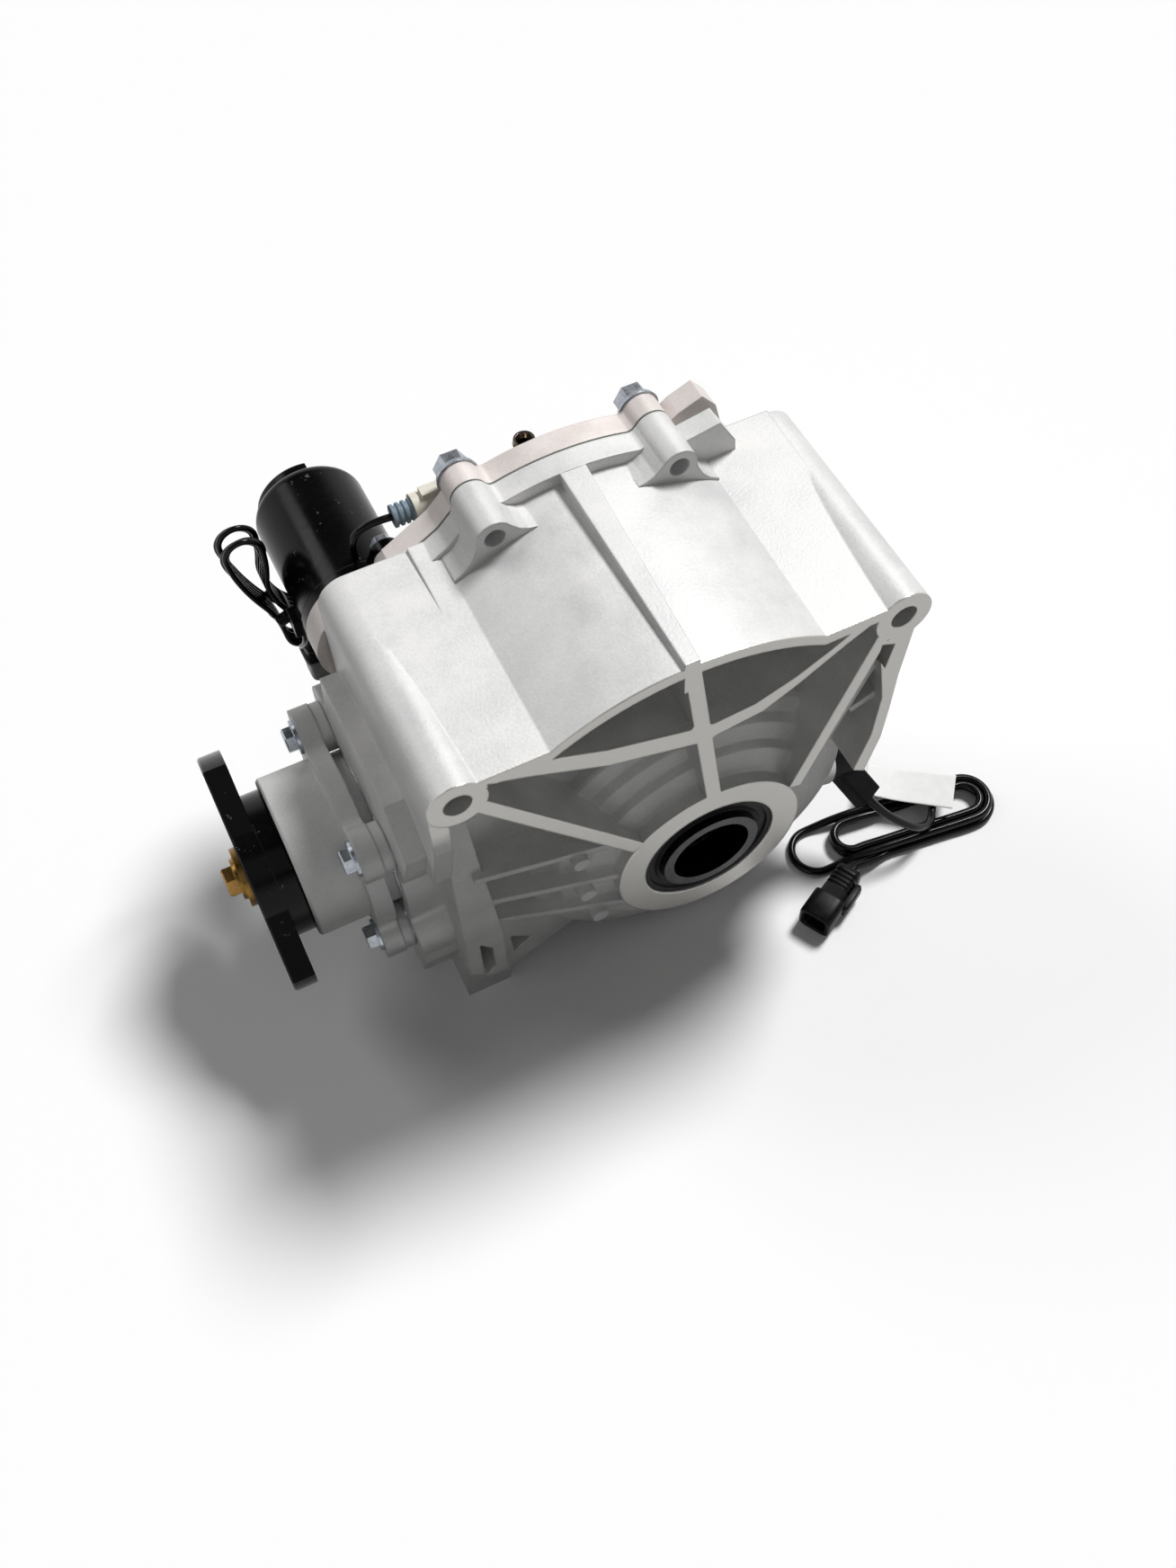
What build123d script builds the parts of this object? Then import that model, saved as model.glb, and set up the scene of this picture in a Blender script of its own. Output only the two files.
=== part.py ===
from build123d import *
import math
import os

os.makedirs("parts", exist_ok=True)

# Rear axle gearbox with a lockable differential, in millimetres.
# Origin: where the axle axis crosses the machined near face of the main case.
# +X to the side away from the pinion, +Y into the case, +Z up.

# Fits and gaps
running_gap = 0.05
slip_gap = 0.15
body_gap = 0.4
dog_gap = 1.0

# Mounting tubes and case
mount_pitch = 180.0
mount_left_x = -103.0
mount_height = 110.0
mount_tube_r = 11.75
mount_hole_r = 5.5
case_depth = 104.5
floor_z = -80.0
middle_x = mount_left_x + mount_pitch / 2 + 1.0
mount_right_x = mount_left_x + mount_pitch

# Roof of the case: two flats and a barrel between them, drafted towards the joint face
roof_flat_near_z = 118.5
roof_flat_far_z = 123.3
barrel_half = 55.0
barrel_near_z = 134.0
barrel_far_z = 138.3
roof_fill_z = 118.4
barrel_fill_z = 133.7
rim = 5.0
recess_depth = 24.0
near_wall = 6.0
rib_near_z = 136.4
rib_far_z = 143.0
rib_near_half = 2.9
rib_far_half = 5.3
pad_edge_x = -77.0
pad_start_y = 53.0

# Gear chamber round the axle axis
chamber_r = 68.5
chamber_wall = 5.5
boss_r = 42.0
boss_step = 6.0
right_wall_x = 79.5
left_wall_x = -107.3
column_thick = 7.4
side_solid_x = -86.0
cavity_right_x = 60.0

# Joint flange, gasket and cover
flange_thick = 10.0
flange_top_z = 143.2
flange_arc_r = 110.0
flange_low_r = 79.8
gasket_thick = 0.8
cover_flange = 10.0
cover_wall = 5.5
cover_dome_r = 58.0
cover_face_y = 152.0
case_bolt_r = 4.0
case_boss_r = 7.6
case_boss_length = 23.0
case_bolt_length = 26.0
dowel_r = 4.0
dowel_length = 14.0

# Axle hubs, seals and bearings
hub_r = 22.0
hub_bore_r = 17.5
hub_spline_r = 16.0
hub_pilot = 15.0
hub_spline_count = 18
hub_proud = 1.5
seal_r = 30.0
seal_width = 8.0
seal_recess = 1.0
seal_shoulder_r = 26.0
near_bearing_y = 14.0
near_bearing_bore_r = 27.5
near_bearing_r = 40.0
near_bearing_width = 13.0
far_bearing_y = 128.0
far_bearing_bore_r = 25.0
far_bearing_r = 36.0
far_bearing_width = 12.0

# Bevel gears
pinion_y = 76.0
ring_teeth = 36
pinion_teeth = 11
ring_pitch_r = 60.0
ring_face = 15.0
ring_body_inner_r = 41.0
side_teeth = 16
spider_teeth = 10
side_pitch_r = 27.0
side_face = 10.5
space_share = 0.60
diff_y = 72.0

# Differential carrier
carrier_r = 39.5
carrier_inner_r = 32.6
carrier_near_y = 32.0
carrier_far_y = 104.0
carrier_end_wall = 7.0
carrier_flange_r = 58.0
carrier_flange_thick = 7.0
ring_bolt_pcd = 98.0
ring_bolt_count = 8
ring_bolt_r = 3.0
cross_pin_r = 7.0
tone_count = 24
tone_inner_r = 54.4
end_plate_thick = 7.0
end_screw_r = 1.8
end_screw_head_r = 2.9
end_screw_pcd = 71.6

# Lock collar, fork and its drive
dog_count = 8
dog_share = 0.36
dog_height = 5.0
dog_inner_r = 28.0
dog_outer_r = 34.5
collar_width = 10.0
collar_r = 36.5
groove_r = 31.5
groove_width = 4.4
hub_splines = 8
hub_spline_outer_r = 25.0
screw_r = 5.0
screw_end_y = 138.0
screw_journal_r = 4.0
rail_r = 4.0
fork_thick = 4.0
nut_r = 8.5
drive_module = 1.0
motor_teeth = 12
drive_teeth = 62
drive_gear_thick = 5.0
drive_gear_y = 107.0
drive_gear_angle = -10.0

# Shift motor
motor_x = -95.5
motor_z = 80.0
motor_r = 23.6
motor_length = 64.0
motor_foot = 5.0

# Pinion housing, shaft and drive flange
mouth_x = -123.0
mouth_length = 24.5
mouth_body_r = 44.0
mouth_lobe_r = 17.0
mouth_corner = (32.0, -57.0)
housing_bolt_pcd = 92.0
housing_bolt_r = 3.0
housing_flange = 8.5
housing_pad = 13.0
housing_body_r = 41.0
housing_lobe_r = 11.5
housing_left_x = -159.5
housing_r = 35.5
spigot_r = 34.0
spigot_depth = 22.0
pinion_bearing_r = 26.0
pinion_bearing_bore_r = 12.5
pinion_bearing_width = 15.0
outer_bearing_x = -131.0
pinion_seal_width = 8.0
pinion_sleeve_r = 16.0
drive_plate_x = -178.0
drive_plate_thick = 10.0
drive_plate_half = 52.5
drive_plate_half_width = 25.0
drive_plate_tilt = 36.0
drive_hole_r = 5.25
drive_hole_pcd = 84.0
dust_hub_r = 31.5
centre_bolt_r = 4.0
drive_hub_bore_r = 10.5

# Sensor, switch, breather and plugs
sensor_angle = -18.0
sensor_y = 28.0
sensor_body_r = 6.5
sensor_pad_r = 77.0
sensor_ear = 15.0
sensor_head_r = 9.0
sensor_head_height = 12.0
breather_x = -19.5
breather_y = 122.0
breather_top_z = 137.5
breather_bore_r = 2.4
switch_y = 123.5
switch_z = 121.0
switch_r = 6.0
plug_r = 6.0
plug_length = 12.0

# Leads
sensor_lead_r = 1.9
motor_lead_r = 1.2
switch_lead_r = 1.5
bend_share = 0.45


def case_plane(y):
    """Drawing plane across the axle axis: sheet x is +X and sheet y is +Z."""
    return Plane.XZ.offset(-y)


def side_plane(x):
    """Drawing plane across the pinion axis, facing -X: sheet x is -Y and sheet y is +Z."""
    return Plane(origin=(x, 0, 0), x_dir=(0, -1, 0), z_dir=(-1, 0, 0))


def finish(piece, label):
    """Name a finished piece and write it."""
    piece.label = label
    export_step(piece, f"parts/{label}.step")
    return piece


def ring(outer_r, inner_r, y, length, at=(0.0, 0.0)):
    """A plain ring along +Y that starts at y."""
    with BuildPart() as made:
        with BuildSketch(case_plane(y)):
            with Locations(at):
                Circle(outer_r)
                if inner_r > 0:
                    Circle(inner_r, mode=Mode.SUBTRACT)
        extrude(amount=-length)
    return made.part


def cross_ring(outer_r, inner_r, x, length, at=(-pinion_y, 0.0)):
    """A plain ring along -X that starts at x, round the pinion axis unless told otherwise."""
    with BuildPart() as made:
        with BuildSketch(side_plane(x)):
            with Locations(at):
                Circle(outer_r)
                if inner_r > 0:
                    Circle(inner_r, mode=Mode.SUBTRACT)
        extrude(amount=length)
    return made.part


def turned(points, axis):
    """A body of revolution from an outline in the XY plane."""
    with BuildPart() as made:
        with BuildSketch(Plane.XY):
            with BuildLine():
                Polyline(*points, close=True)
            make_face()
        revolve(axis=axis)
    return made.part


def flange_bolt(plane, shank_r, reach, across_flats, head_h, washer_r, washer_h=1.8):
    """A hex flange bolt: the plane lies under the head and faces out of it."""
    with BuildPart() as made:
        with BuildSketch(plane):
            Circle(washer_r)
        extrude(amount=washer_h, taper=14)
        with BuildSketch(plane.offset(washer_h / 2)):
            RegularPolygon(radius=across_flats / 2, side_count=6, major_radius=False)
        extrude(amount=head_h)
        top = made.faces().sort_by(Axis(plane.origin, plane.z_dir))[-1]
        chamfer(top.edges(), 0.5)
        with BuildSketch(plane):
            Circle(shank_r)
        extrude(amount=-reach)
    return made.part


def bar(start, end, width):
    """A straight bar in the current sketch, between two points."""
    length = math.dist(start, end)
    angle = math.degrees(math.atan2(end[1] - start[1], end[0] - start[0]))
    centre = ((start[0] + end[0]) / 2, (start[1] + end[1]) / 2)
    with Locations(Location((centre[0], centre[1], 0), (0, 0, angle))):
        Rectangle(length, width)


def polygon(*points, mode=Mode.ADD):
    """A filled outline in the current sketch, at the given points."""
    Polygon(*points, align=None, mode=mode)


def around(radius, angle):
    """A point on a circle about the sheet's origin."""
    return (radius * math.cos(math.radians(angle)), radius * math.sin(math.radians(angle)))


def sensor_plane(radius):
    """Drawing plane across the speed sensor, facing away from the axle: sheet y is +Y."""
    out = (math.cos(math.radians(sensor_angle)), 0, math.sin(math.radians(sensor_angle)))
    across = (math.sin(math.radians(sensor_angle)), 0, -math.cos(math.radians(sensor_angle)))
    return Plane(origin=(radius * out[0], sensor_y, radius * out[2]), x_dir=across, z_dir=out)


# Places of the joint's bolts and dowels
upper_bolts = [(middle_x - 37.8, 137.8), (middle_x + 37.8, 137.8)]
lower_bolt_r = flange_low_r - 5.6
lower_bolts = [around(lower_bolt_r, angle) for angle in (-8.0, -52.0, -128.0)]
side_bolts = [(side_solid_x - 2, -46.0), (side_solid_x - 2, 36.0), (71.0, 62.0)]
case_bolts_at = upper_bolts + lower_bolts + side_bolts
dowels_at = [(side_solid_x - 2, -31.0), (71.0, 34.0)]
cover_y = case_depth + gasket_thick
cover_back_y = cover_y + cover_flange
drive_gear_gap = drive_module * (motor_teeth + drive_teeth) / 2
screw_x = motor_x + drive_gear_gap * math.cos(math.radians(drive_gear_angle))
screw_z = motor_z + drive_gear_gap * math.sin(math.radians(drive_gear_angle))
rail_x = screw_x + 32.0
rail_z = screw_z + 14.0
housing_bolt_at = housing_bolt_pcd / 2 / math.sqrt(2)
lobes_at = [(-pinion_y + i * housing_bolt_at, j * housing_bolt_at) for i in (-1, 1) for j in (-1, 1)]
collar_y = carrier_far_y + dog_height + dog_gap
spigot_end_x = mouth_x + spigot_depth
inner_bearing_x = spigot_end_x + pinion_bearing_width
far_end_y = cover_face_y + hub_proud


def joint_outline():
    """The outline shared by the case flange, the gasket and the cover."""
    reach = barrel_half - 9
    drop = flange_arc_r - math.sqrt(flange_arc_r ** 2 - reach ** 2)
    left_end = (middle_x - reach, flange_top_z - drop)
    right_end = (middle_x + reach, flange_top_z - drop)
    with BuildSketch() as outline:
        with BuildLine():
            ThreePointArc(left_end, (middle_x, flange_top_z), right_end)
            Polyline(right_end, (middle_x + 66, 127), (middle_x + 70, 115), (63, 104), (64, 96),
                     (right_wall_x, 90), (right_wall_x, 0), (0, 0), (-60, -54.5), (side_solid_x - 10, -54.5),
                     (side_solid_x - 10, 56), (left_wall_x + 1, 64), (left_wall_x + 1, 97), (-98, 99.5),
                     (-90, 106), (-84, 115), (-76.5, 119.5), (-64, 127), left_end)
        make_face()
        Circle(flange_low_r)
        with Locations(*case_bolts_at):
            Circle(case_boss_r)
        offset(amount=3.5, kind=Kind.ARC)
        offset(amount=-3.5, kind=Kind.ARC)
    return outline.sketch


def cavity_outline():
    """The inside of the case and gasket in the joint plane."""
    with BuildSketch() as outline:
        with BuildLine():
            Polyline((-80, 40), (-80, 58), (-101, 66), (-101, 91), (-86, 98), (-75, 108),
                     (middle_x - barrel_half + 2, 112))
            ThreePointArc((middle_x - barrel_half + 2, 112), (middle_x, barrel_near_z - 7.5),
                          (middle_x + barrel_half - 2, 112))
            Polyline((middle_x + barrel_half - 2, 112), (56, 104), (cavity_right_x, 92), (cavity_right_x, 0),
                     (0, 0), (-60, -32), (-76, -32), (-80, 40))
        make_face()
        Circle(chamber_r)
    return outline.sketch


joint_sketch = joint_outline()
cavity_sketch = cavity_outline()


# Main case
def roof_profile(flat_z, top_z):
    """The arched band of the roof: flats at the sides and a barrel between them."""
    left = middle_x - barrel_half
    right = middle_x + barrel_half
    with BuildSketch() as profile:
        with BuildLine():
            Polyline((left, flat_z - rim), (mount_left_x, flat_z - rim), (mount_left_x, flat_z),
                     (left, flat_z))
            ThreePointArc((left, flat_z), (middle_x, top_z), (right, flat_z))
            Polyline((right, flat_z), (mount_right_x, flat_z), (mount_right_x, flat_z - rim),
                     (right, flat_z - rim))
            ThreePointArc((right, flat_z - rim), (middle_x, top_z - rim), (left, flat_z - rim))
        make_face()
    return profile.sketch


roof_near = roof_profile(roof_flat_near_z, barrel_near_z)
roof_far = roof_profile(roof_flat_far_z, barrel_far_z)
chamber_outer_r = chamber_r + chamber_wall
boss_floor_y = seal_recess + seal_width
with BuildPart() as main_case:
    # gear chamber with the stepped contours round the boss
    with BuildSketch(Plane.XY):
        polygon((0, 0), (boss_r, 0), (boss_r, boss_step), (48, 7.5), (53, 8.5), (55, 12), (63, 13.5),
                (65.5, 17), (chamber_outer_r - 1, 18.5), (chamber_outer_r, 20), (chamber_outer_r, case_depth),
                (0, case_depth))
    revolve(axis=Axis.Y)
    # upper chamber behind the near wall
    with BuildSketch(case_plane(recess_depth)):
        polygon((left_wall_x, 46), (left_wall_x, 114), (right_wall_x - 6, 114), (right_wall_x, 90),
                (right_wall_x, 0), (0, 0), (-60, -46), (-98, -46), (-98, 46))
    extrude(amount=-(case_depth - recess_depth))
    # roof band, drafted
    with BuildSketch(case_plane(0)):
        add(roof_near)
    with BuildSketch(case_plane(case_depth)):
        add(roof_far)
    loft(ruled=True)
    with BuildSketch(case_plane(recess_depth)):
        with BuildLine():
            Polyline((left_wall_x, 100), (left_wall_x, roof_fill_z), (middle_x - barrel_half, roof_fill_z))
            ThreePointArc((middle_x - barrel_half, roof_fill_z), (middle_x, barrel_fill_z),
                          (middle_x + barrel_half, roof_fill_z))
            Polyline((middle_x + barrel_half, roof_fill_z), (right_wall_x - 6, roof_fill_z),
                     (right_wall_x - 6, 100), (left_wall_x, 100))
        make_face()
    extrude(amount=-(case_depth - recess_depth))
    # mounting tubes
    with BuildSketch(case_plane(0)):
        with Locations((mount_left_x, mount_height), (mount_right_x, mount_height)):
            Circle(mount_tube_r)
    extrude(amount=-case_depth)
    # rib along the barrel
    with BuildSketch(case_plane(0)):
        with Locations((middle_x, (120 + rib_near_z) / 2)):
            Rectangle(2 * rib_near_half, rib_near_z - 120)
    with BuildSketch(case_plane(case_depth - flange_thick)):
        with Locations((middle_x, (120 + rib_far_z) / 2)):
            Rectangle(2 * rib_far_half, rib_far_z - 120)
    loft(ruled=True)
    # webs and ribs on the near face
    with BuildSketch(case_plane(0)):
        polygon((-4, 83), (-45, 94.8), (-76.5, 109.6), (-95, 117), (-95, roof_flat_near_z),
                (-82, roof_flat_near_z),
                (-63.6, 112.8), (-45.9, 105), (-4, 92.5))
        polygon((-4, 84), (18.8, 87.3), (32.7, 95), (53.2, 108.4), (68, 117), (68, roof_flat_near_z),
                (61.5, roof_flat_near_z), (46.2, 108.4), (32.4, 100.6), (15.7, 94.2), (-4, 92.5))
        bar((0.6, boss_r - 3), (middle_x, barrel_near_z - 1), 6.4)
        bar((-97, 106), (-33, 26), 6.2)
        bar((70, 104), (39, 20), 5.4)
        polygon((68.5, 99), (83, 99.5), (80.5, 72), (79.8, 50), (78.5, 30), (73.5, 8), (68, 12),
                (73.5, 34), (75, 60))
        fillet([v for v in vertices() if -30 < v.X < 20 and 70 < v.Y < 110], 1.6)
    extrude(amount=-recess_depth)
    with BuildSketch(case_plane(5)):
        bar((76, 90), (49, 24), 4.4)
        bar((79, 58), (64, 52), 3.6)
    extrude(amount=-(recess_depth - 5))
    # fan of three ribs from the pinion block to the boss
    for level, end_y in ((33, 11.5), (6, 16), (-17, 20)):
        with BuildSketch(Plane.XY.offset(level)):
            polygon((-36, 1), (-99, end_y), (-99, recess_depth + 2), (-36, recess_depth + 2))
        extrude(amount=1.7, both=True)
    with BuildSketch(case_plane(2)):
        with Locations((-57, 28), (-55, 1), (-50, -21)):
            Circle(3.6)
    extrude(amount=-16)
    # side wall under the left tube and the block wall beside it
    with BuildSketch(side_plane(left_wall_x)):
        polygon((0, mount_height), (-1, 82), (-11, 46), (-24, 38), (-case_depth, 38),
                (-case_depth, mount_height))
    extrude(amount=column_thick)
    with BuildSketch(case_plane(14)):
        polygon((-98, 84), (left_wall_x, 84), (left_wall_x, -46), (-98, -56), (-90, -56), (-90, -20),
                (-95, 40))
    extrude(amount=-(case_depth - 14))
    # pinion mouth: a lobed block
    with BuildSketch(side_plane(mouth_x + mouth_length)):
        with Locations((-pinion_y, 0)):
            Circle(mouth_body_r)
        with Locations(*lobes_at):
            Circle(mouth_lobe_r)
        polygon((-mouth_corner[0] - 24, mouth_corner[1] - 3), (-mouth_corner[0], mouth_corner[1] - 3),
                (-mouth_corner[0] + 5, mouth_corner[1] + 12), (-mouth_corner[0] + 3, -26), (-pinion_y, -20))
        polygon((-pinion_y + 30, 38), (-20, 44), (-14, 62), (-30, 80), (-pinion_y - 20, 80),
                (-pinion_y - 30, 38))
        offset(amount=4, kind=Kind.ARC)
        offset(amount=-4, kind=Kind.ARC)
    extrude(amount=mouth_length)
    # foot under the block
    with BuildSketch(case_plane(21)):
        polygon((-108, floor_z), (-88, floor_z), (-86, -70), (-62, -56), (-50, -50), (-60, -30), (-107, -14))
    extrude(amount=-24)
    # joint flange and bolt bosses
    with BuildSketch(case_plane(case_depth - flange_thick)):
        add(joint_sketch)
    extrude(amount=-flange_thick)
    with BuildSketch(case_plane(case_depth - case_boss_length)):
        with Locations(*upper_bolts):
            Circle(case_boss_r)
        for (x, z), out in zip(upper_bolts, (-1, 1)):
            polygon((x + out * 6.8, z + 1.5), (x + out * 8.2, z - 4), (x + out * 10.2, z - 8.2),
                    (x + out * 13.2, z - 11.8), (x + out * 17.5, z - 14.6), (x + out * 17.5, z - 18),
                    (x - out * 17, z - 12), (x - out * 17, z - 2.2), (x - out * 13.5, z - 1.5),
                    (x - out * 10, z + 0.3), (x - out * 6.8, z + 3.6))
    extrude(amount=-case_boss_length)
    # pry lug with its slot
    with BuildSketch(case_plane(case_depth - 12)):
        polygon((middle_x + 44, 120), (middle_x + 45, 137), (middle_x + 61, 140), (middle_x + 68, 128),
                (middle_x + 69, 112), (middle_x + 50, 112))
    extrude(amount=-9)
    # inside
    with BuildSketch(case_plane(recess_depth + near_wall)):
        add(cavity_sketch)
        with Locations((side_solid_x - 14, 60)):
            Rectangle(40, 120, mode=Mode.SUBTRACT)
    extrude(amount=-case_depth, mode=Mode.SUBTRACT)
    with BuildSketch(case_plane(case_depth - 34)):
        add(cavity_sketch)
    extrude(amount=-case_depth, mode=Mode.SUBTRACT)
    with BuildSketch(Plane.XY):
        polygon((46.5, 31), (46.5, 16), (54, 18), (61, 21), (chamber_r, 25), (chamber_r, 31))
    revolve(axis=Axis.Y, mode=Mode.SUBTRACT)
    # bosses that stand in the cavity
    with BuildSketch(case_plane(case_depth - case_boss_length)):
        with Locations(*side_bolts, *lower_bolts):
            Circle(case_boss_r)
        with Locations(*dowels_at):
            Circle(case_boss_r)
    extrude(amount=-case_boss_length)
    # seal seat, bearing seat and shoulder
    with BuildSketch(case_plane(0)):
        Circle(seal_r)
    extrude(amount=-boss_floor_y, mode=Mode.SUBTRACT)
    with BuildSketch(case_plane(0)):
        Circle(seal_shoulder_r)
    extrude(amount=-case_depth, mode=Mode.SUBTRACT)
    with BuildSketch(case_plane(near_bearing_y)):
        Circle(near_bearing_r)
    extrude(amount=-(case_depth - near_bearing_y), mode=Mode.SUBTRACT)
    # pinion bore
    with BuildSketch(side_plane(spigot_end_x)):
        with Locations((-pinion_y, 0)):
            Circle(spigot_r + running_gap)
    extrude(amount=60, mode=Mode.SUBTRACT)
    with BuildSketch(side_plane(-62)):
        with Locations((-pinion_y, 0)):
            Circle(pinion_bearing_r)
    extrude(amount=60, mode=Mode.SUBTRACT)
    # speed sensor boss and bore
    with BuildSketch(sensor_plane(62)):
        Circle(sensor_head_r + 1)
        with Locations((0, sensor_ear)):
            Circle(6)
    extrude(amount=sensor_pad_r - 62)
    with BuildSketch(sensor_plane(40)):
        Circle(sensor_body_r + slip_gap)
    extrude(amount=50, mode=Mode.SUBTRACT)
    with BuildSketch(sensor_plane(69)):
        with Locations((0, sensor_ear)):
            Circle(2.5)
    extrude(amount=20, mode=Mode.SUBTRACT)
    # deep openings beside the tubes
    with BuildSketch(case_plane(-1)):
        polygon((-91.4, 115.5), (-78.5, 108.6), (-86.5, 99.5), (-90.3, 103.2))
        polygon((-106, 97.0), (-97.5, 97.5), (-93.2, 93), (-98.5, 86.2), (-106, 88.2))
        polygon((55.5, 107.5), (64.5, 113.6), (65.5, 104.4), (61.6, 100.0))
        polygon((69.5, 97.5), (75.8, 94.5), (73.2, 80.2), (68.6, 90.0))
    extrude(amount=-62, mode=Mode.SUBTRACT)
    with BuildSketch(case_plane(0)):
        polygon((-101, -24), (-95.5, -31), (-95.5, -48), (-101, -54))
        polygon((-85, -42), (-75, -50), (-84, -57))
    extrude(amount=-60, mode=Mode.SUBTRACT)
    # machined pad on the left roof flat
    with BuildSketch(Plane.XY.offset(mount_height + mount_tube_r)):
        with Locations(((pad_edge_x - 118) / 2, (pad_start_y + case_depth) / 2)):
            Rectangle(pad_edge_x + 118, case_depth - pad_start_y)
    extrude(amount=10, mode=Mode.SUBTRACT)
    # holes
    with BuildSketch(case_plane(-1)):
        with Locations((mount_left_x, mount_height), (mount_right_x, mount_height)):
            Circle(mount_hole_r)
    extrude(amount=-(case_depth + 2), mode=Mode.SUBTRACT)
    with BuildSketch(case_plane(case_depth - case_boss_length - 1)):
        with Locations(*upper_bolts):
            Circle(case_bolt_r + slip_gap)
    extrude(amount=-(case_boss_length + 2), mode=Mode.SUBTRACT)
    with BuildSketch(case_plane(case_depth - case_bolt_length + cover_flange)):
        with Locations(*side_bolts, *lower_bolts):
            Circle(case_bolt_r + slip_gap)
    extrude(amount=-case_bolt_length, mode=Mode.SUBTRACT)
    with BuildSketch(case_plane(case_depth - dowel_length / 2)):
        with Locations(*dowels_at):
            Circle(dowel_r)
    extrude(amount=-dowel_length, mode=Mode.SUBTRACT)
    with BuildSketch(side_plane(mouth_x + mouth_length - 6)):
        with Locations(*lobes_at):
            Circle(housing_bolt_r + slip_gap)
    extrude(amount=mouth_length, mode=Mode.SUBTRACT)
finish(main_case.part, "main_case")

# Joint gasket
with BuildPart() as case_gasket:
    with BuildSketch(case_plane(case_depth)):
        add(joint_sketch)
        add(cavity_sketch, mode=Mode.SUBTRACT)
        with Locations(*side_bolts, *lower_bolts, *dowels_at):
            Circle(case_boss_r)
        with Locations(*case_bolts_at):
            Circle(case_bolt_r + slip_gap, mode=Mode.SUBTRACT)
        with Locations(*dowels_at):
            Circle(dowel_r, mode=Mode.SUBTRACT)
    extrude(amount=-gasket_thick)
finish(case_gasket.part, "case_gasket")


# Rear cover
gear_pocket_depth = drive_gear_y + drive_gear_thick + 1.5 - cover_y
lock_depth = 127.0
motor_face_y = 118.0
motor_base_r = 24.4
motor_ears = [60.0, -82.0]
motor_ear_reach = 29.2
motor_ears_at = [(motor_x + motor_ear_reach * math.cos(math.radians(a)),
                  motor_z + motor_ear_reach * math.sin(math.radians(a))) for a in motor_ears]
drain_at = (0.0, -66.0)
fill_at = (44.0, 54.0)
plug_face_y = 124.0
screw_boss_y = 141.0


def lock_hull(centre_r, nut_side_r, rail_side_r):
    """The outline round the axle, the lead screw and the fork rail."""
    with BuildSketch() as hull:
        Circle(centre_r)
        with Locations((screw_x, screw_z)):
            Circle(nut_side_r)
        with Locations((rail_x, rail_z)):
            Circle(rail_side_r)
        make_hull()
    return hull.sketch


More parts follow.
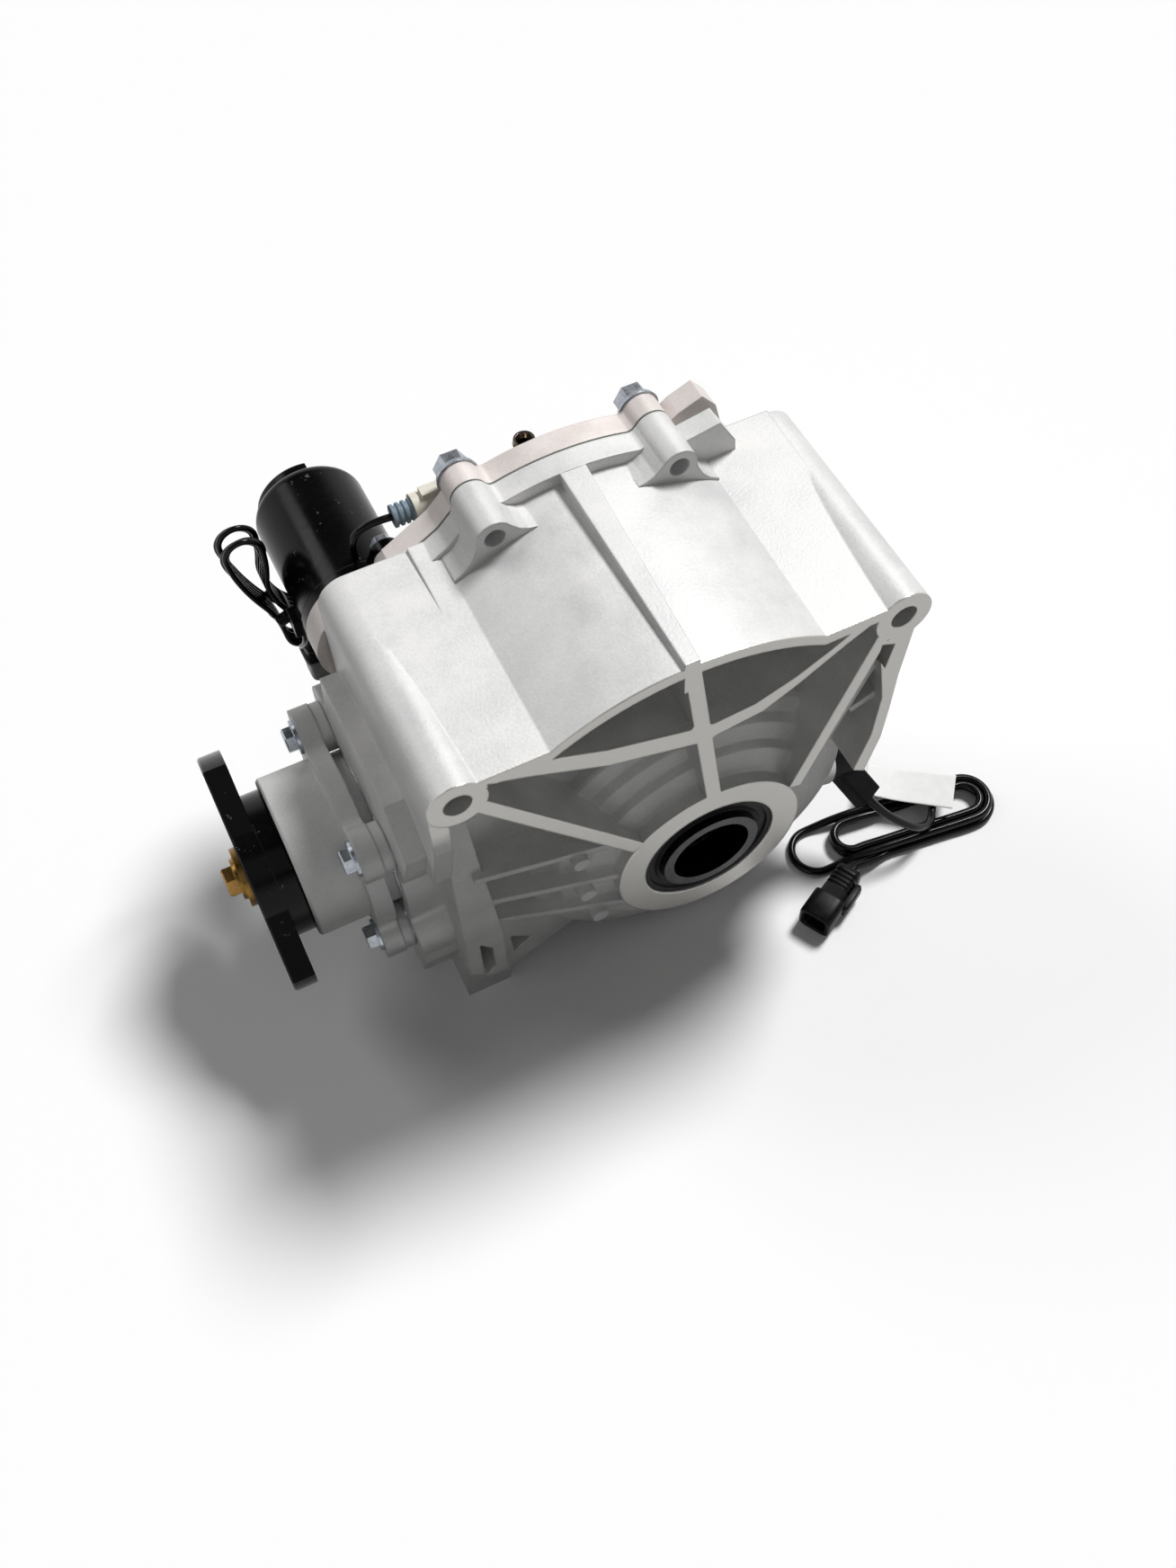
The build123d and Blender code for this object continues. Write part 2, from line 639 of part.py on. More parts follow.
lock_outside = lock_hull(cover_dome_r - 5, 15, 14)
lock_inside = lock_hull(48, 9.5, 9)
gear_hull = lock_hull(cover_dome_r, drive_module * drive_teeth / 2 + 6, 16)
with BuildPart() as rear_cover:
    with BuildSketch(case_plane(cover_y)):
        add(joint_sketch)
        polygon((middle_x + 44, 120), (middle_x + 46, 136), (middle_x + 50, 139), (middle_x + 60, 143),
                (middle_x + 66, 136), (middle_x + 69, 124), (middle_x + 69, 112), (middle_x + 50, 112))
    extrude(amount=-cover_flange)
    with BuildSketch(Plane.XY):
        polygon((0, cover_y), (63.5, cover_y), (63, 118), (cover_dome_r, 127), (46, 133), (boss_r, 138),
                (boss_r, cover_face_y), (0, cover_face_y))
    revolve(axis=Axis.Y)
    with BuildSketch(case_plane(cover_y)):
        add(gear_hull)
        with Locations((motor_x, motor_z)):
            Circle(motor_base_r)
        with Locations(*motor_ears_at):
            Circle(6.5)
    extrude(amount=-(motor_face_y - cover_y))
    with BuildSketch(case_plane(cover_y)):
        add(lock_outside)
    extrude(amount=-(lock_depth + cover_wall - cover_y))
    # bosses for the lead screw, the fork rail, the plugs, the breather and the lock switch
    with BuildSketch(case_plane(lock_depth)):
        with Locations((screw_x, screw_z), (rail_x, rail_z)):
            Circle(8.5)
    extrude(amount=-(screw_boss_y - lock_depth))
    with BuildSketch(case_plane(cover_y)):
        with Locations(drain_at, fill_at):
            Circle(plug_r + 6)
    extrude(amount=-(plug_face_y - cover_y))
    with BuildSketch(Plane.XY.offset(96)):
        with Locations((breather_x, breather_y)):
            Circle(8)
    extrude(amount=25)
    with BuildSketch(case_plane(cover_y)):
        with Locations((-46.5, switch_z - 4)):
            Rectangle(11, 22)
    extrude(amount=-(switch_y + 8 - cover_y))
    # ribs from the boss outwards
    for angle in (-150, -110, -70, -30, 10):
        out = around(1.0, angle)
        with BuildSketch(Plane(origin=(0, 0, 0), x_dir=(out[0], 0, out[1]), z_dir=(-out[1], 0, out[0]))):
            polygon((boss_r - 2, cover_back_y), (boss_r - 2, 147), (boss_r + 2, 147), (75, cover_back_y + 1),
                    (75, cover_back_y - 2))
        extrude(amount=2.2, both=True)
    # room for the lock collar, the fork and the reduction gear
    with BuildSketch(case_plane(cover_y)):
        add(lock_inside)
    extrude(amount=-(lock_depth - cover_y), mode=Mode.SUBTRACT)
    with BuildSketch(case_plane(cover_y)):
        with Locations((screw_x, screw_z)):
            Circle(drive_module * drive_teeth / 2 + 2.5)
        with Locations((motor_x, motor_z)):
            Circle(drive_module * motor_teeth / 2 + 2.2)
    extrude(amount=-gear_pocket_depth, mode=Mode.SUBTRACT)
    with BuildSketch(case_plane(motor_face_y)):
        with Locations((motor_x, motor_z)):
            Circle(motor_base_r + body_gap)
    extrude(amount=-80, mode=Mode.SUBTRACT)
    with BuildSketch(case_plane(plug_face_y)):
        with Locations(drain_at, fill_at):
            Circle(plug_r + 5.2)
    extrude(amount=-80, mode=Mode.SUBTRACT)
    # bearing seat, shoulder and seal seat on the axle axis
    with BuildSketch(case_plane(lock_depth - 1)):
        Circle(far_bearing_r)
    extrude(amount=-(far_bearing_y + far_bearing_width - lock_depth + 1), mode=Mode.SUBTRACT)
    with BuildSketch(case_plane(lock_depth)):
        Circle(seal_shoulder_r)
    extrude(amount=-(cover_face_y - lock_depth + 1), mode=Mode.SUBTRACT)
    with BuildSketch(case_plane(cover_face_y - seal_recess - seal_width)):
        Circle(seal_r)
    extrude(amount=-(seal_width + seal_recess + 1), mode=Mode.SUBTRACT)
    # screw and rail seats
    with BuildSketch(case_plane(lock_depth - 1)):
        with Locations((screw_x, screw_z)):
            Circle(screw_journal_r + running_gap)
        with Locations((rail_x, rail_z)):
            Circle(rail_r)
    extrude(amount=-(screw_end_y + 0.5 - lock_depth + 1), mode=Mode.SUBTRACT)
    # motor spigot and screw holes
    with BuildSketch(case_plane(drive_gear_y)):
        with Locations((motor_x, motor_z)):
            Circle(10)
    extrude(amount=-(motor_face_y + 1 - drive_gear_y), mode=Mode.SUBTRACT)
    with BuildSketch(case_plane(motor_face_y - 10)):
        with Locations(*motor_ears_at):
            Circle(2.5)
    extrude(amount=-12, mode=Mode.SUBTRACT)
    # joint bolts, dowels, plugs, breather and switch holes
    with BuildSketch(case_plane(cover_y - 1)):
        with Locations(*case_bolts_at):
            Circle(case_bolt_r + slip_gap)
    extrude(amount=-40, mode=Mode.SUBTRACT)
    with BuildSketch(case_plane(cover_back_y)):
        with Locations(*case_bolts_at):
            Circle(case_boss_r + 1.4)
    extrude(amount=-40, mode=Mode.SUBTRACT)
    with BuildSketch(case_plane(cover_y - 1)):
        with Locations(*dowels_at):
            Circle(dowel_r)
    extrude(amount=-(dowel_length / 2 - gasket_thick + 1.5), mode=Mode.SUBTRACT)
    with BuildSketch(case_plane(cover_y - 1)):
        with Locations(drain_at, fill_at):
            Circle(plug_r)
    extrude(amount=-40, mode=Mode.SUBTRACT)
    with BuildSketch(Plane.XY.offset(90)):
        with Locations((breather_x, breather_y)):
            Circle(breather_bore_r)
    extrude(amount=40, mode=Mode.SUBTRACT)
    with BuildSketch(Plane.XY.offset(112)):
        with Locations((breather_x, breather_y)):
            Circle(3.2)
    extrude(amount=20, mode=Mode.SUBTRACT)
    with BuildSketch(side_plane(-44.5)):
        with Locations((-switch_y, switch_z)):
            Circle(switch_r)
    extrude(amount=20, mode=Mode.SUBTRACT)
finish(rear_cover.part, "rear_cover")


# Joint bolts and dowels
bolt_parts = []
for x, z in case_bolts_at:
    bolt_parts.append(flange_bolt(Plane(origin=(x, cover_back_y, z), x_dir=(1, 0, 0), z_dir=(0, 1, 0)),
                                  case_bolt_r, case_bolt_length, 12.0, 7.5, 8.6))
finish(Compound(children=bolt_parts), "case_bolts")
dowel_parts = [ring(dowel_r, dowel_r - 1.4, case_depth - dowel_length / 2 + 0.2, dowel_length - 0.4, at=place)
               for place in dowels_at]
finish(Compound(children=dowel_parts), "case_dowels")


# Breather, plugs and lock switch
with BuildPart() as breather:
    with BuildSketch(Plane.XZ):
        polygon((breather_bore_r, 112), (3.2, 112), (3.2, 121), (5.4, 121), (5.4, 124.5), (3.3, 124.5),
                (3.3, breather_top_z - 6), (4.7, breather_top_z - 2.2), (4.2, breather_top_z),
                (3.4, breather_top_z), (breather_bore_r, breather_top_z - 2.2))
    revolve(axis=Axis.Z)
finish(Location((breather_x, breather_y, 0)) * breather.part, "breather_nipple")


oil_plugs = []
plug_washers = []
for x, z in (drain_at, fill_at):
    face = Plane(origin=(x, plug_face_y + 1.5, z), x_dir=(1, 0, 0), z_dir=(0, 1, 0))
    oil_plugs.append(flange_bolt(face, plug_r, plug_length + 1.5, 13.0, 7.0, plug_r + 4.2, 2.4))
    plug_washers.append(ring(plug_r + 4.4, plug_r + 0.1, plug_face_y, 1.5, at=(x, z)))
finish(Compound(children=oil_plugs), "oil_plugs")
finish(Compound(children=plug_washers), "plug_washers")

switch_end_x = -67.0
switch_at = (-switch_y, switch_z)
with BuildPart() as lock_switch:
    with BuildSketch(side_plane(-44.5)):
        with Locations(switch_at):
            Circle(switch_r)
            Circle(3.6, mode=Mode.SUBTRACT)
    extrude(amount=-44.5 - switch_end_x)
    with BuildSketch(side_plane(-53)):
        with Locations(switch_at):
            Circle(switch_r + 1.1)
            Circle(switch_r - 1, mode=Mode.SUBTRACT)
    extrude(amount=2.5)
    with BuildSketch(side_plane(-55)):
        with Locations((switch_at[0], switch_at[1] + switch_r)):
            Rectangle(5, 3.4)
    extrude(amount=8)
    with BuildSketch(side_plane(-44.5)):
        with Locations(switch_at):
            Circle(4)
    extrude(amount=2)
finish(lock_switch.part, "lock_switch")
seal_outline = [(0.0, 0.0), (0.0, 3.5), (8.0, 3.5), (8.0, 4.6)]
for rib in range(3):
    seal_outline += [(9.0 + 2.4 * rib, 4.6), (9.4 + 2.4 * rib, 3.8), (10.0 + 2.4 * rib, 3.8),
                     (10.4 + 2.4 * rib, 4.6)]
seal_outline += [(16.4, 4.6), (16.4, 1.5), (4.0, 1.5), (4.0, 0.0)]
seal_body = turned([(switch_end_x + 8 - a, r) for a, r in seal_outline], Axis.X)
finish(Location((0, switch_y, switch_z)) * seal_body, "lock_switch_seal")


# Bearings: two rings, and the balls with their cage
def bearing(label, bore_r, outer_r, width, balls, places):
    """A deep-groove ball bearing drawn along Z from z = 0, one copy at each place."""
    middle_r = (bore_r + outer_r) / 2
    ball_r = (outer_r - bore_r) * 0.28
    shoulder = (outer_r - bore_r) * 0.14
    gap = running_gap
    with BuildPart() as outer_ring:
        with BuildSketch(Plane.XY):
            Circle(outer_r)
            Circle(middle_r + shoulder, mode=Mode.SUBTRACT)
        extrude(amount=width)
        with BuildSketch(Plane.XZ):
            with Locations((middle_r, width / 2)):
                Circle(ball_r + gap)
        revolve(axis=Axis.Z, mode=Mode.SUBTRACT)
    with BuildPart() as inner_ring:
        with BuildSketch(Plane.XY):
            Circle(middle_r - shoulder)
            Circle(bore_r, mode=Mode.SUBTRACT)
        extrude(amount=width)
        with BuildSketch(Plane.XZ):
            with Locations((middle_r, width / 2)):
                Circle(ball_r + gap)
        revolve(axis=Axis.Z, mode=Mode.SUBTRACT)
    with BuildPart() as caged_balls:
        with BuildSketch(Plane.XY.offset(width / 2 - ball_r * 0.45)):
            Circle(middle_r + 0.8)
            Circle(middle_r - 0.8, mode=Mode.SUBTRACT)
        extrude(amount=ball_r * 0.9)
        with Locations(Location((0, 0, width / 2))):
            with PolarLocations(middle_r, balls):
                Sphere(ball_r)
    finish(placed(outer_ring.part, places), f"{label}_outer_ring")
    finish(placed(inner_ring.part, places), f"{label}_inner_ring")
    finish(placed(caged_balls.part, places), f"{label}_balls")


def placed(piece, places):
    """Copies of a piece, one at each place."""
    if len(places) == 1:
        return places[0] * piece
    return Compound(children=[place * piece for place in places])


def along_y(y):
    """Place for a piece drawn along Z, laid along +Y from y on the axle axis."""
    return Location(Plane(origin=(0, y, 0), x_dir=(1, 0, 0), z_dir=(0, 1, 0)))


def back_along_y(y):
    """Place for a piece drawn along Z, laid along -Y from y on the axle axis."""
    return Location(Plane(origin=(0, y, 0), x_dir=(1, 0, 0), z_dir=(0, -1, 0)))


def along_x(x, y=pinion_y):
    """Place for a piece drawn along Z, laid along +X from x on the pinion axis."""
    return Location(Plane(origin=(x, y, 0), x_dir=(0, 0, 1), z_dir=(1, 0, 0)))


def back_along_x(x, y=pinion_y):
    """Place for a piece drawn along Z, laid along -X from x on the pinion axis."""
    return Location(Plane(origin=(x, y, 0), x_dir=(0, 0, 1), z_dir=(-1, 0, 0)))


bearing("near_bearing", near_bearing_bore_r, near_bearing_r, near_bearing_width, 16,
        [along_y(near_bearing_y)])
bearing("far_bearing", far_bearing_bore_r, far_bearing_r, far_bearing_width, 15, [along_y(far_bearing_y)])
bearing("pinion_bearing", pinion_bearing_bore_r, pinion_bearing_r, pinion_bearing_width, 9,
        [back_along_x(inner_bearing_x), back_along_x(outer_bearing_x)])


# Lip seals
def lip_seal(label, outer_r, shaft_r, width, places):
    """A lip seal drawn along Z from z = 0, its face with a shallow groove, one copy at each place."""
    inner = shaft_r + running_gap
    step = (outer_r - inner) / 3
    outline = [(inner, 0.8), (inner + step * 0.8, 0), (inner + step, 1.2), (outer_r - step, 1.2),
               (outer_r - step * 0.8, 0), (outer_r, 0), (outer_r, width), (outer_r - 1.6, width),
               (outer_r - 1.6, 2.6), (inner + step * 0.9, 2.6), (inner + 1.2, width * 0.8),
               (inner, width * 0.6)]
    with BuildPart() as seal:
        with BuildSketch(Plane.XZ):
            polygon(*outline)
        revolve(axis=Axis.Z)
    finish(placed(seal.part, places), label)


lip_seal("axle_seals", seal_r, hub_r, seal_width, [along_y(seal_recess),
                                                   back_along_y(cover_face_y - seal_recess)])
lip_seal("pinion_seal", pinion_bearing_r, pinion_sleeve_r, pinion_seal_width, [along_x(housing_left_x + 1.5)])


# Bevel gears, drawn along Z with the shared apex at the origin and the teeth facing +Z
def bevel_gear(teeth, mate_teeth, pitch_r, face, inner_r, hub_profile, phase=0.0):
    """A straight bevel gear. The pitch cone's apex is the origin; the gear lies on the -Z side."""
    depth = pitch_r * mate_teeth / teeth
    cone = math.hypot(pitch_r, depth)
    module = 2 * pitch_r / teeth
    addendum = 0.85 * module
    dedendum = 1.12 * module
    normal = (depth / cone, pitch_r / cone)
    shrink = (cone - face) / cone
    tip = (pitch_r + addendum * normal[0], -depth + addendum * normal[1])
    root = (pitch_r - dedendum * normal[0], -depth - dedendum * normal[1])
    inner_tip = (tip[0] * shrink, tip[1] * shrink)
    inner_root = (root[0] * shrink, root[1] * shrink)
    outline = [tip, root] + hub_profile + [(inner_r, inner_root[1] - 1), inner_root, inner_tip]
    pitch_angle = math.pi / teeth
    half_pitch_space = pitch_r * pitch_angle * space_share
    slope = math.tan(math.radians(20))
    wide = half_pitch_space + (addendum + 1) * slope
    narrow = max(half_pitch_space - dedendum * slope, 0.25 * module)
    with BuildPart() as gear:
        with BuildSketch(Plane.XZ):
            polygon(*outline)
        revolve(axis=Axis.Z)
        far_scale = 1.06
        near_scale = shrink * 0.9
        sections = []
        for scale in (far_scale, near_scale):
            top = ((pitch_r + (addendum + 1) * normal[0]) * scale,
                   (-depth + (addendum + 1) * normal[1]) * scale)
            low = (root[0] * scale, root[1] * scale)
            corners = [(top[0], -wide * scale, top[1]), (top[0], wide * scale, top[1]),
                       (low[0], narrow * scale, low[1]), (low[0], -narrow * scale, low[1])]
            sections.append(Face(Wire.make_polygon([Vector(*c) for c in corners])))
        cutter = loft(sections=sections, mode=Mode.PRIVATE)
        for tooth in range(teeth):
            turn = math.degrees(2 * math.pi * tooth / teeth) + phase
            add(Location((0, 0, 0), (0, 0, turn)) * cutter, mode=Mode.SUBTRACT)
    return gear.part


pinion_shoulder_r = 16.5
ring_depth = ring_pitch_r * pinion_teeth / ring_teeth
pinion_pitch_r = ring_depth
ring_back_y = carrier_near_y + 5 + carrier_flange_thick
ring_gear_body = bevel_gear(ring_teeth, pinion_teeth, ring_pitch_r, ring_face, ring_body_inner_r,
                            [(carrier_flange_r, -(pinion_y - 51)),
                             (carrier_flange_r, -(pinion_y - ring_back_y)),
                             (ring_body_inner_r, -(pinion_y - ring_back_y))], phase=0.0)
with BuildPart() as ring_gear:
    add(along_y(pinion_y) * ring_gear_body)
    with BuildSketch(case_plane(ring_back_y)):
        with PolarLocations(ring_bolt_pcd / 2, ring_bolt_count):
            Circle(ring_bolt_r)
    extrude(amount=-10, mode=Mode.SUBTRACT)
finish(ring_gear.part, "ring_gear")

pinion_body = bevel_gear(pinion_teeth, ring_teeth, pinion_pitch_r, ring_face, 0.0,
                         [(13.5, -62.5), (pinion_shoulder_r, -65.0), (pinion_shoulder_r, inner_bearing_x),
                          (pinion_bearing_bore_r, inner_bearing_x),
                          (pinion_bearing_bore_r, outer_bearing_x - pinion_bearing_width),
                          (drive_hub_bore_r, outer_bearing_x - pinion_bearing_width),
                          (drive_hub_bore_r, drive_plate_x + 5), (0.0, drive_plate_x + 5)],
                         phase=90 + 180 / pinion_teeth)
with BuildPart() as pinion_shaft:
    add(along_x(0) * pinion_body)
    with BuildSketch(side_plane(drive_plate_x + 5)):
        with Locations((-pinion_y, 0)):
            Circle(centre_bolt_r)
    extrude(amount=-26, mode=Mode.SUBTRACT)
finish(pinion_shaft.part, "pinion_shaft")


# Differential: side gears with their axle hubs, spider gears on the cross pin
def hub_splines_cut(start, end):
    """The grooves of an axle hub's splined bore, between two heights."""
    with BuildPart() as grooves:
        with BuildSketch(Plane.XY.offset(start)):
            Circle(hub_spline_r)
            with PolarLocations(hub_spline_r - 0.3, hub_spline_count):
                Rectangle(3.4, 2.6)
        extrude(amount=end - start)
    return grooves.part


def side_gear(hub_profile, hub_end):
    """A side gear with its axle hub along -Z and the splined bore through both."""
    body = bevel_gear(side_teeth, spider_teeth, side_pitch_r, side_face, hub_spline_r, hub_profile)
    with BuildPart() as made:
        add(body)
        add(hub_splines_cut(hub_end, -5), mode=Mode.SUBTRACT)
        with BuildSketch(Plane.XY.offset(hub_end)):
            Circle(hub_bore_r)
        extrude(amount=hub_pilot, mode=Mode.SUBTRACT)
    return made.part


carrier_near_wall_y = carrier_near_y + carrier_end_wall
end_plate_y = carrier_far_y - end_plate_thick
side_back = carrier_near_wall_y + body_gap - diff_y
side_back_far = diff_y - end_plate_y + body_gap
hub_near_end = -hub_proud - diff_y
hub_far_end = diff_y - far_end_y
near_profile = [(side_pitch_r - 3.5, -21.5), (side_pitch_r - 3.5, side_back), (hub_r, side_back),
                (hub_r, hub_near_end), (hub_spline_r, hub_near_end)]
finish(along_y(diff_y) * side_gear(near_profile, hub_near_end), "side_gear_near")

spline_start = diff_y - carrier_far_y - 1
spline_end = diff_y - lock_depth - 0.6
seat_end = diff_y - far_bearing_y - far_bearing_width
hub_root_r = hub_spline_outer_r - 2
far_profile = [(side_pitch_r - 3.5, -21.5), (side_pitch_r - 3.5, side_back_far), (hub_r, side_back_far),
               (hub_r, spline_start), (hub_root_r, spline_start), (hub_root_r, spline_end),
               (hub_spline_outer_r, spline_end), (hub_spline_outer_r, seat_end), (hub_r, seat_end),
               (hub_r, hub_far_end), (hub_spline_r, hub_far_end)]
with BuildPart() as side_gear_far:
    add(back_along_y(diff_y) * side_gear(far_profile, hub_far_end))
    with BuildSketch(case_plane(carrier_far_y + 1)):
        with PolarLocations(hub_spline_outer_r - 1.5, hub_splines):
            Rectangle(3.0, 5.0)
    extrude(amount=-(lock_depth + 0.6 - carrier_far_y - 1))
finish(side_gear_far.part, "side_gear_far")

spider_pitch_r = side_pitch_r * spider_teeth / side_teeth
spider_bore_r = cross_pin_r + running_gap
spider_profile = [(11.5, -29.9), (8.0, -31.2), (spider_bore_r, -31.2)]
spider_gear = bevel_gear(spider_teeth, side_teeth, spider_pitch_r, side_face, spider_bore_r, spider_profile)
finish(back_along_x(0, diff_y) * spider_gear, "spider_gear_right")
finish(along_x(0, diff_y) * spider_gear, "spider_gear_left")

# Differential carrier with its flange, tone ring and windows
carrier_flange_y = carrier_near_y + 5
journal_r = near_bearing_bore_r
roll_pin_r = 2.0
roll_pin_x = (carrier_r + carrier_inner_r) / 2
end_screw_r_at = end_screw_pcd / 2
with BuildPart() as diff_carrier:
    with BuildSketch(Plane.XY):
        polygon((hub_r + running_gap, near_bearing_y + body_gap), (journal_r, near_bearing_y + body_gap),
                (journal_r, near_bearing_y + near_bearing_width), (31.0, near_bearing_y + near_bearing_width),
                (31.0, carrier_near_y), (carrier_r, carrier_near_y), (carrier_r, carrier_flange_y),
                (carrier_flange_r, carrier_flange_y),
                (carrier_flange_r, carrier_flange_y + carrier_flange_thick),
                (ring_body_inner_r, carrier_flange_y + carrier_flange_thick),
                (ring_body_inner_r, carrier_flange_y + carrier_flange_thick + 6), (carrier_r, 51),
                (carrier_r, end_plate_y), (carrier_inner_r, end_plate_y),
                (carrier_inner_r, carrier_near_wall_y), (hub_r + running_gap, carrier_near_wall_y))
    revolve(axis=Axis.Y)
    with BuildSketch(case_plane(carrier_flange_y - 6)):
        Circle(carrier_flange_r)
        Circle(tone_inner_r, mode=Mode.SUBTRACT)
        with PolarLocations(carrier_flange_r, tone_count):
            Rectangle(9, 6.5, mode=Mode.SUBTRACT)
    extrude(amount=-6)
    with BuildSketch(Plane.YZ.offset(-carrier_r - 1)):
        with Locations((diff_y, 0)):
            Circle(cross_pin_r)
    extrude(amount=2 * carrier_r + 2, mode=Mode.SUBTRACT)
    with BuildSketch(Plane.XY.offset(-carrier_r)):
        with Locations((roll_pin_x, diff_y)):
            Circle(roll_pin_r)
    extrude(amount=2 * carrier_r, mode=Mode.SUBTRACT)
    with BuildSketch(Plane.XY.offset(-carrier_r - 1)):
        with Locations((0, diff_y)):
            SlotOverall(34, 26, rotation=90)
    extrude(amount=2 * carrier_r + 2, mode=Mode.SUBTRACT)
    with BuildSketch(case_plane(carrier_flange_y - 1)):
        with PolarLocations(ring_bolt_pcd / 2, ring_bolt_count):
            Circle(ring_bolt_r + slip_gap)
    extrude(amount=-carrier_flange_thick - 2, mode=Mode.SUBTRACT)
    with BuildSketch(case_plane(end_plate_y - 10)):
        with PolarLocations(end_screw_r_at, dog_count, start_angle=180 / dog_count):
            Circle(end_screw_r)
    extrude(amount=-12, mode=Mode.SUBTRACT)
finish(diff_carrier.part, "diff_carrier")

dog_middle_r = (dog_inner_r + dog_outer_r) / 2
dog_width = 2 * math.pi * dog_middle_r / dog_count * dog_share
with BuildPart() as diff_end_plate:
    with BuildSketch(case_plane(end_plate_y)):
        Circle(carrier_r)
        Circle(hub_r + running_gap, mode=Mode.SUBTRACT)
        with PolarLocations(end_screw_r_at, dog_count, start_angle=180 / dog_count):
            Circle(end_screw_r + slip_gap, mode=Mode.SUBTRACT)
    extrude(amount=-end_plate_thick)
    with BuildSketch(case_plane(carrier_far_y)):
        with PolarLocations(dog_middle_r, dog_count):
            Rectangle(dog_outer_r - dog_inner_r, dog_width)
    extrude(amount=-dog_height)
    with BuildSketch(case_plane(carrier_far_y - 4)):
        with PolarLocations(end_screw_r_at, dog_count, start_angle=180 / dog_count):
            Circle(end_screw_head_r + slip_gap)
    extrude(amount=-5, mode=Mode.SUBTRACT)
finish(diff_end_plate.part, "diff_end_plate")

end_screw_parts = []
for i in range(dog_count):
    x, z = around(end_screw_r_at, 360 / dog_count * (i + 0.5))
    with BuildPart() as screw:
        with BuildSketch(case_plane(end_plate_y - 9)):
            with Locations((x, z)):
                Circle(end_screw_r)
        extrude(amount=-(carrier_far_y - 4 - end_plate_y + 9))
        with BuildSketch(case_plane(carrier_far_y - 4)):
            with Locations((x, z)):
                Circle(end_screw_head_r)
        extrude(amount=-3.6)
        with BuildSketch(case_plane(carrier_far_y - 2.4)):
            with Locations((x, z)):
                RegularPolygon(radius=1.5, side_count=6)
        extrude(amount=-4, mode=Mode.SUBTRACT)
    end_screw_parts.append(screw.part)
finish(Compound(children=end_screw_parts), "end_plate_screws")

ring_bolt_parts = []
for i in range(ring_bolt_count):
    x, z = around(ring_bolt_pcd / 2, 360 / ring_bolt_count * i)
    seat = Plane(origin=(x, carrier_flange_y, z), x_dir=(1, 0, 0), z_dir=(0, -1, 0))
    ring_bolt_parts.append(flange_bolt(seat, ring_bolt_r, 16.0, 7.6, 3.6, 4.6, 1.2))
finish(Compound(children=ring_bolt_parts), "ring_gear_bolts")

pin_half = carrier_r - 0.8
with BuildPart() as cross_pin:
    with BuildSketch(Plane.YZ.offset(-pin_half)):
        with Locations((diff_y, 0)):
            Circle(cross_pin_r)
    extrude(amount=2 * pin_half)
    with BuildSketch(Plane.XY.offset(-carrier_r)):
        with Locations((roll_pin_x, diff_y)):
            Circle(roll_pin_r)
    extrude(amount=2 * carrier_r, mode=Mode.SUBTRACT)
finish(cross_pin.part, "cross_pin")
with BuildPart() as cross_pin_lock:
    with BuildSketch(Plane.XY.offset(-14)):
        with Locations((roll_pin_x, diff_y)):
            Circle(roll_pin_r)
            Circle(roll_pin_r - 0.8, mode=Mode.SUBTRACT)
            with Locations((roll_pin_r, 0)):
                Rectangle(2, 0.7, mode=Mode.SUBTRACT)
    extrude(amount=28)
finish(cross_pin_lock.part, "cross_pin_lock")

# Pinion housing, its shim, o-ring and bolts
shim_thick = 0.5
o_ring_x = mouth_x + 12
o_ring_thick = 1.9
o_ring_width = 2.4
plate_x = mouth_x - shim_thick - housing_pad
with BuildPart() as pinion_housing:
    with BuildSketch(side_plane(plate_x + housing_flange)):
        with Locations((-pinion_y, 0)):
            Circle(housing_body_r)
        with Locations(*lobes_at):
            Circle(housing_lobe_r)
        offset(amount=5, kind=Kind.ARC)
        offset(amount=-5, kind=Kind.ARC)
    extrude(amount=housing_flange)
    with BuildSketch(side_plane(mouth_x - shim_thick)):
        with Locations(*lobes_at):
            Circle(housing_lobe_r - 0.6)
    extrude(amount=housing_pad)
    with BuildSketch(side_plane(spigot_end_x)):
        with Locations((-pinion_y, 0)):
            Circle(spigot_r)
    extrude(amount=spigot_end_x - plate_x)
    with BuildSketch(side_plane(plate_x)):
        with Locations((-pinion_y, 0)):
            Circle(housing_r)
    extrude(amount=plate_x - housing_left_x)
    chamfer(faces().sort_by(Axis.X)[0].edges().sort_by(SortBy.LENGTH)[-1], 1.0)
    with BuildSketch(side_plane(inner_bearing_x)):
        with Locations((-pinion_y, 0)):
            Circle(pinion_bearing_r - 3.5)
    extrude(amount=80, mode=Mode.SUBTRACT)
    with BuildSketch(side_plane(outer_bearing_x)):
        with Locations((-pinion_y, 0)):
            Circle(pinion_bearing_r)
    extrude(amount=40, mode=Mode.SUBTRACT)
    with BuildSketch(side_plane(mouth_x)):
        with Locations(*lobes_at):
            Circle(housing_bolt_r + slip_gap)
    extrude(amount=housing_pad + 5, mode=Mode.SUBTRACT)
    with BuildSketch(side_plane(o_ring_x + 0.2)):
        with Locations((-pinion_y, 0)):
            Circle(spigot_r + 1)
            Circle(spigot_r - o_ring_thick, mode=Mode.SUBTRACT)
    extrude(amount=o_ring_width + 0.4, mode=Mode.SUBTRACT)
finish(pinion_housing.part, "pinion_housing")

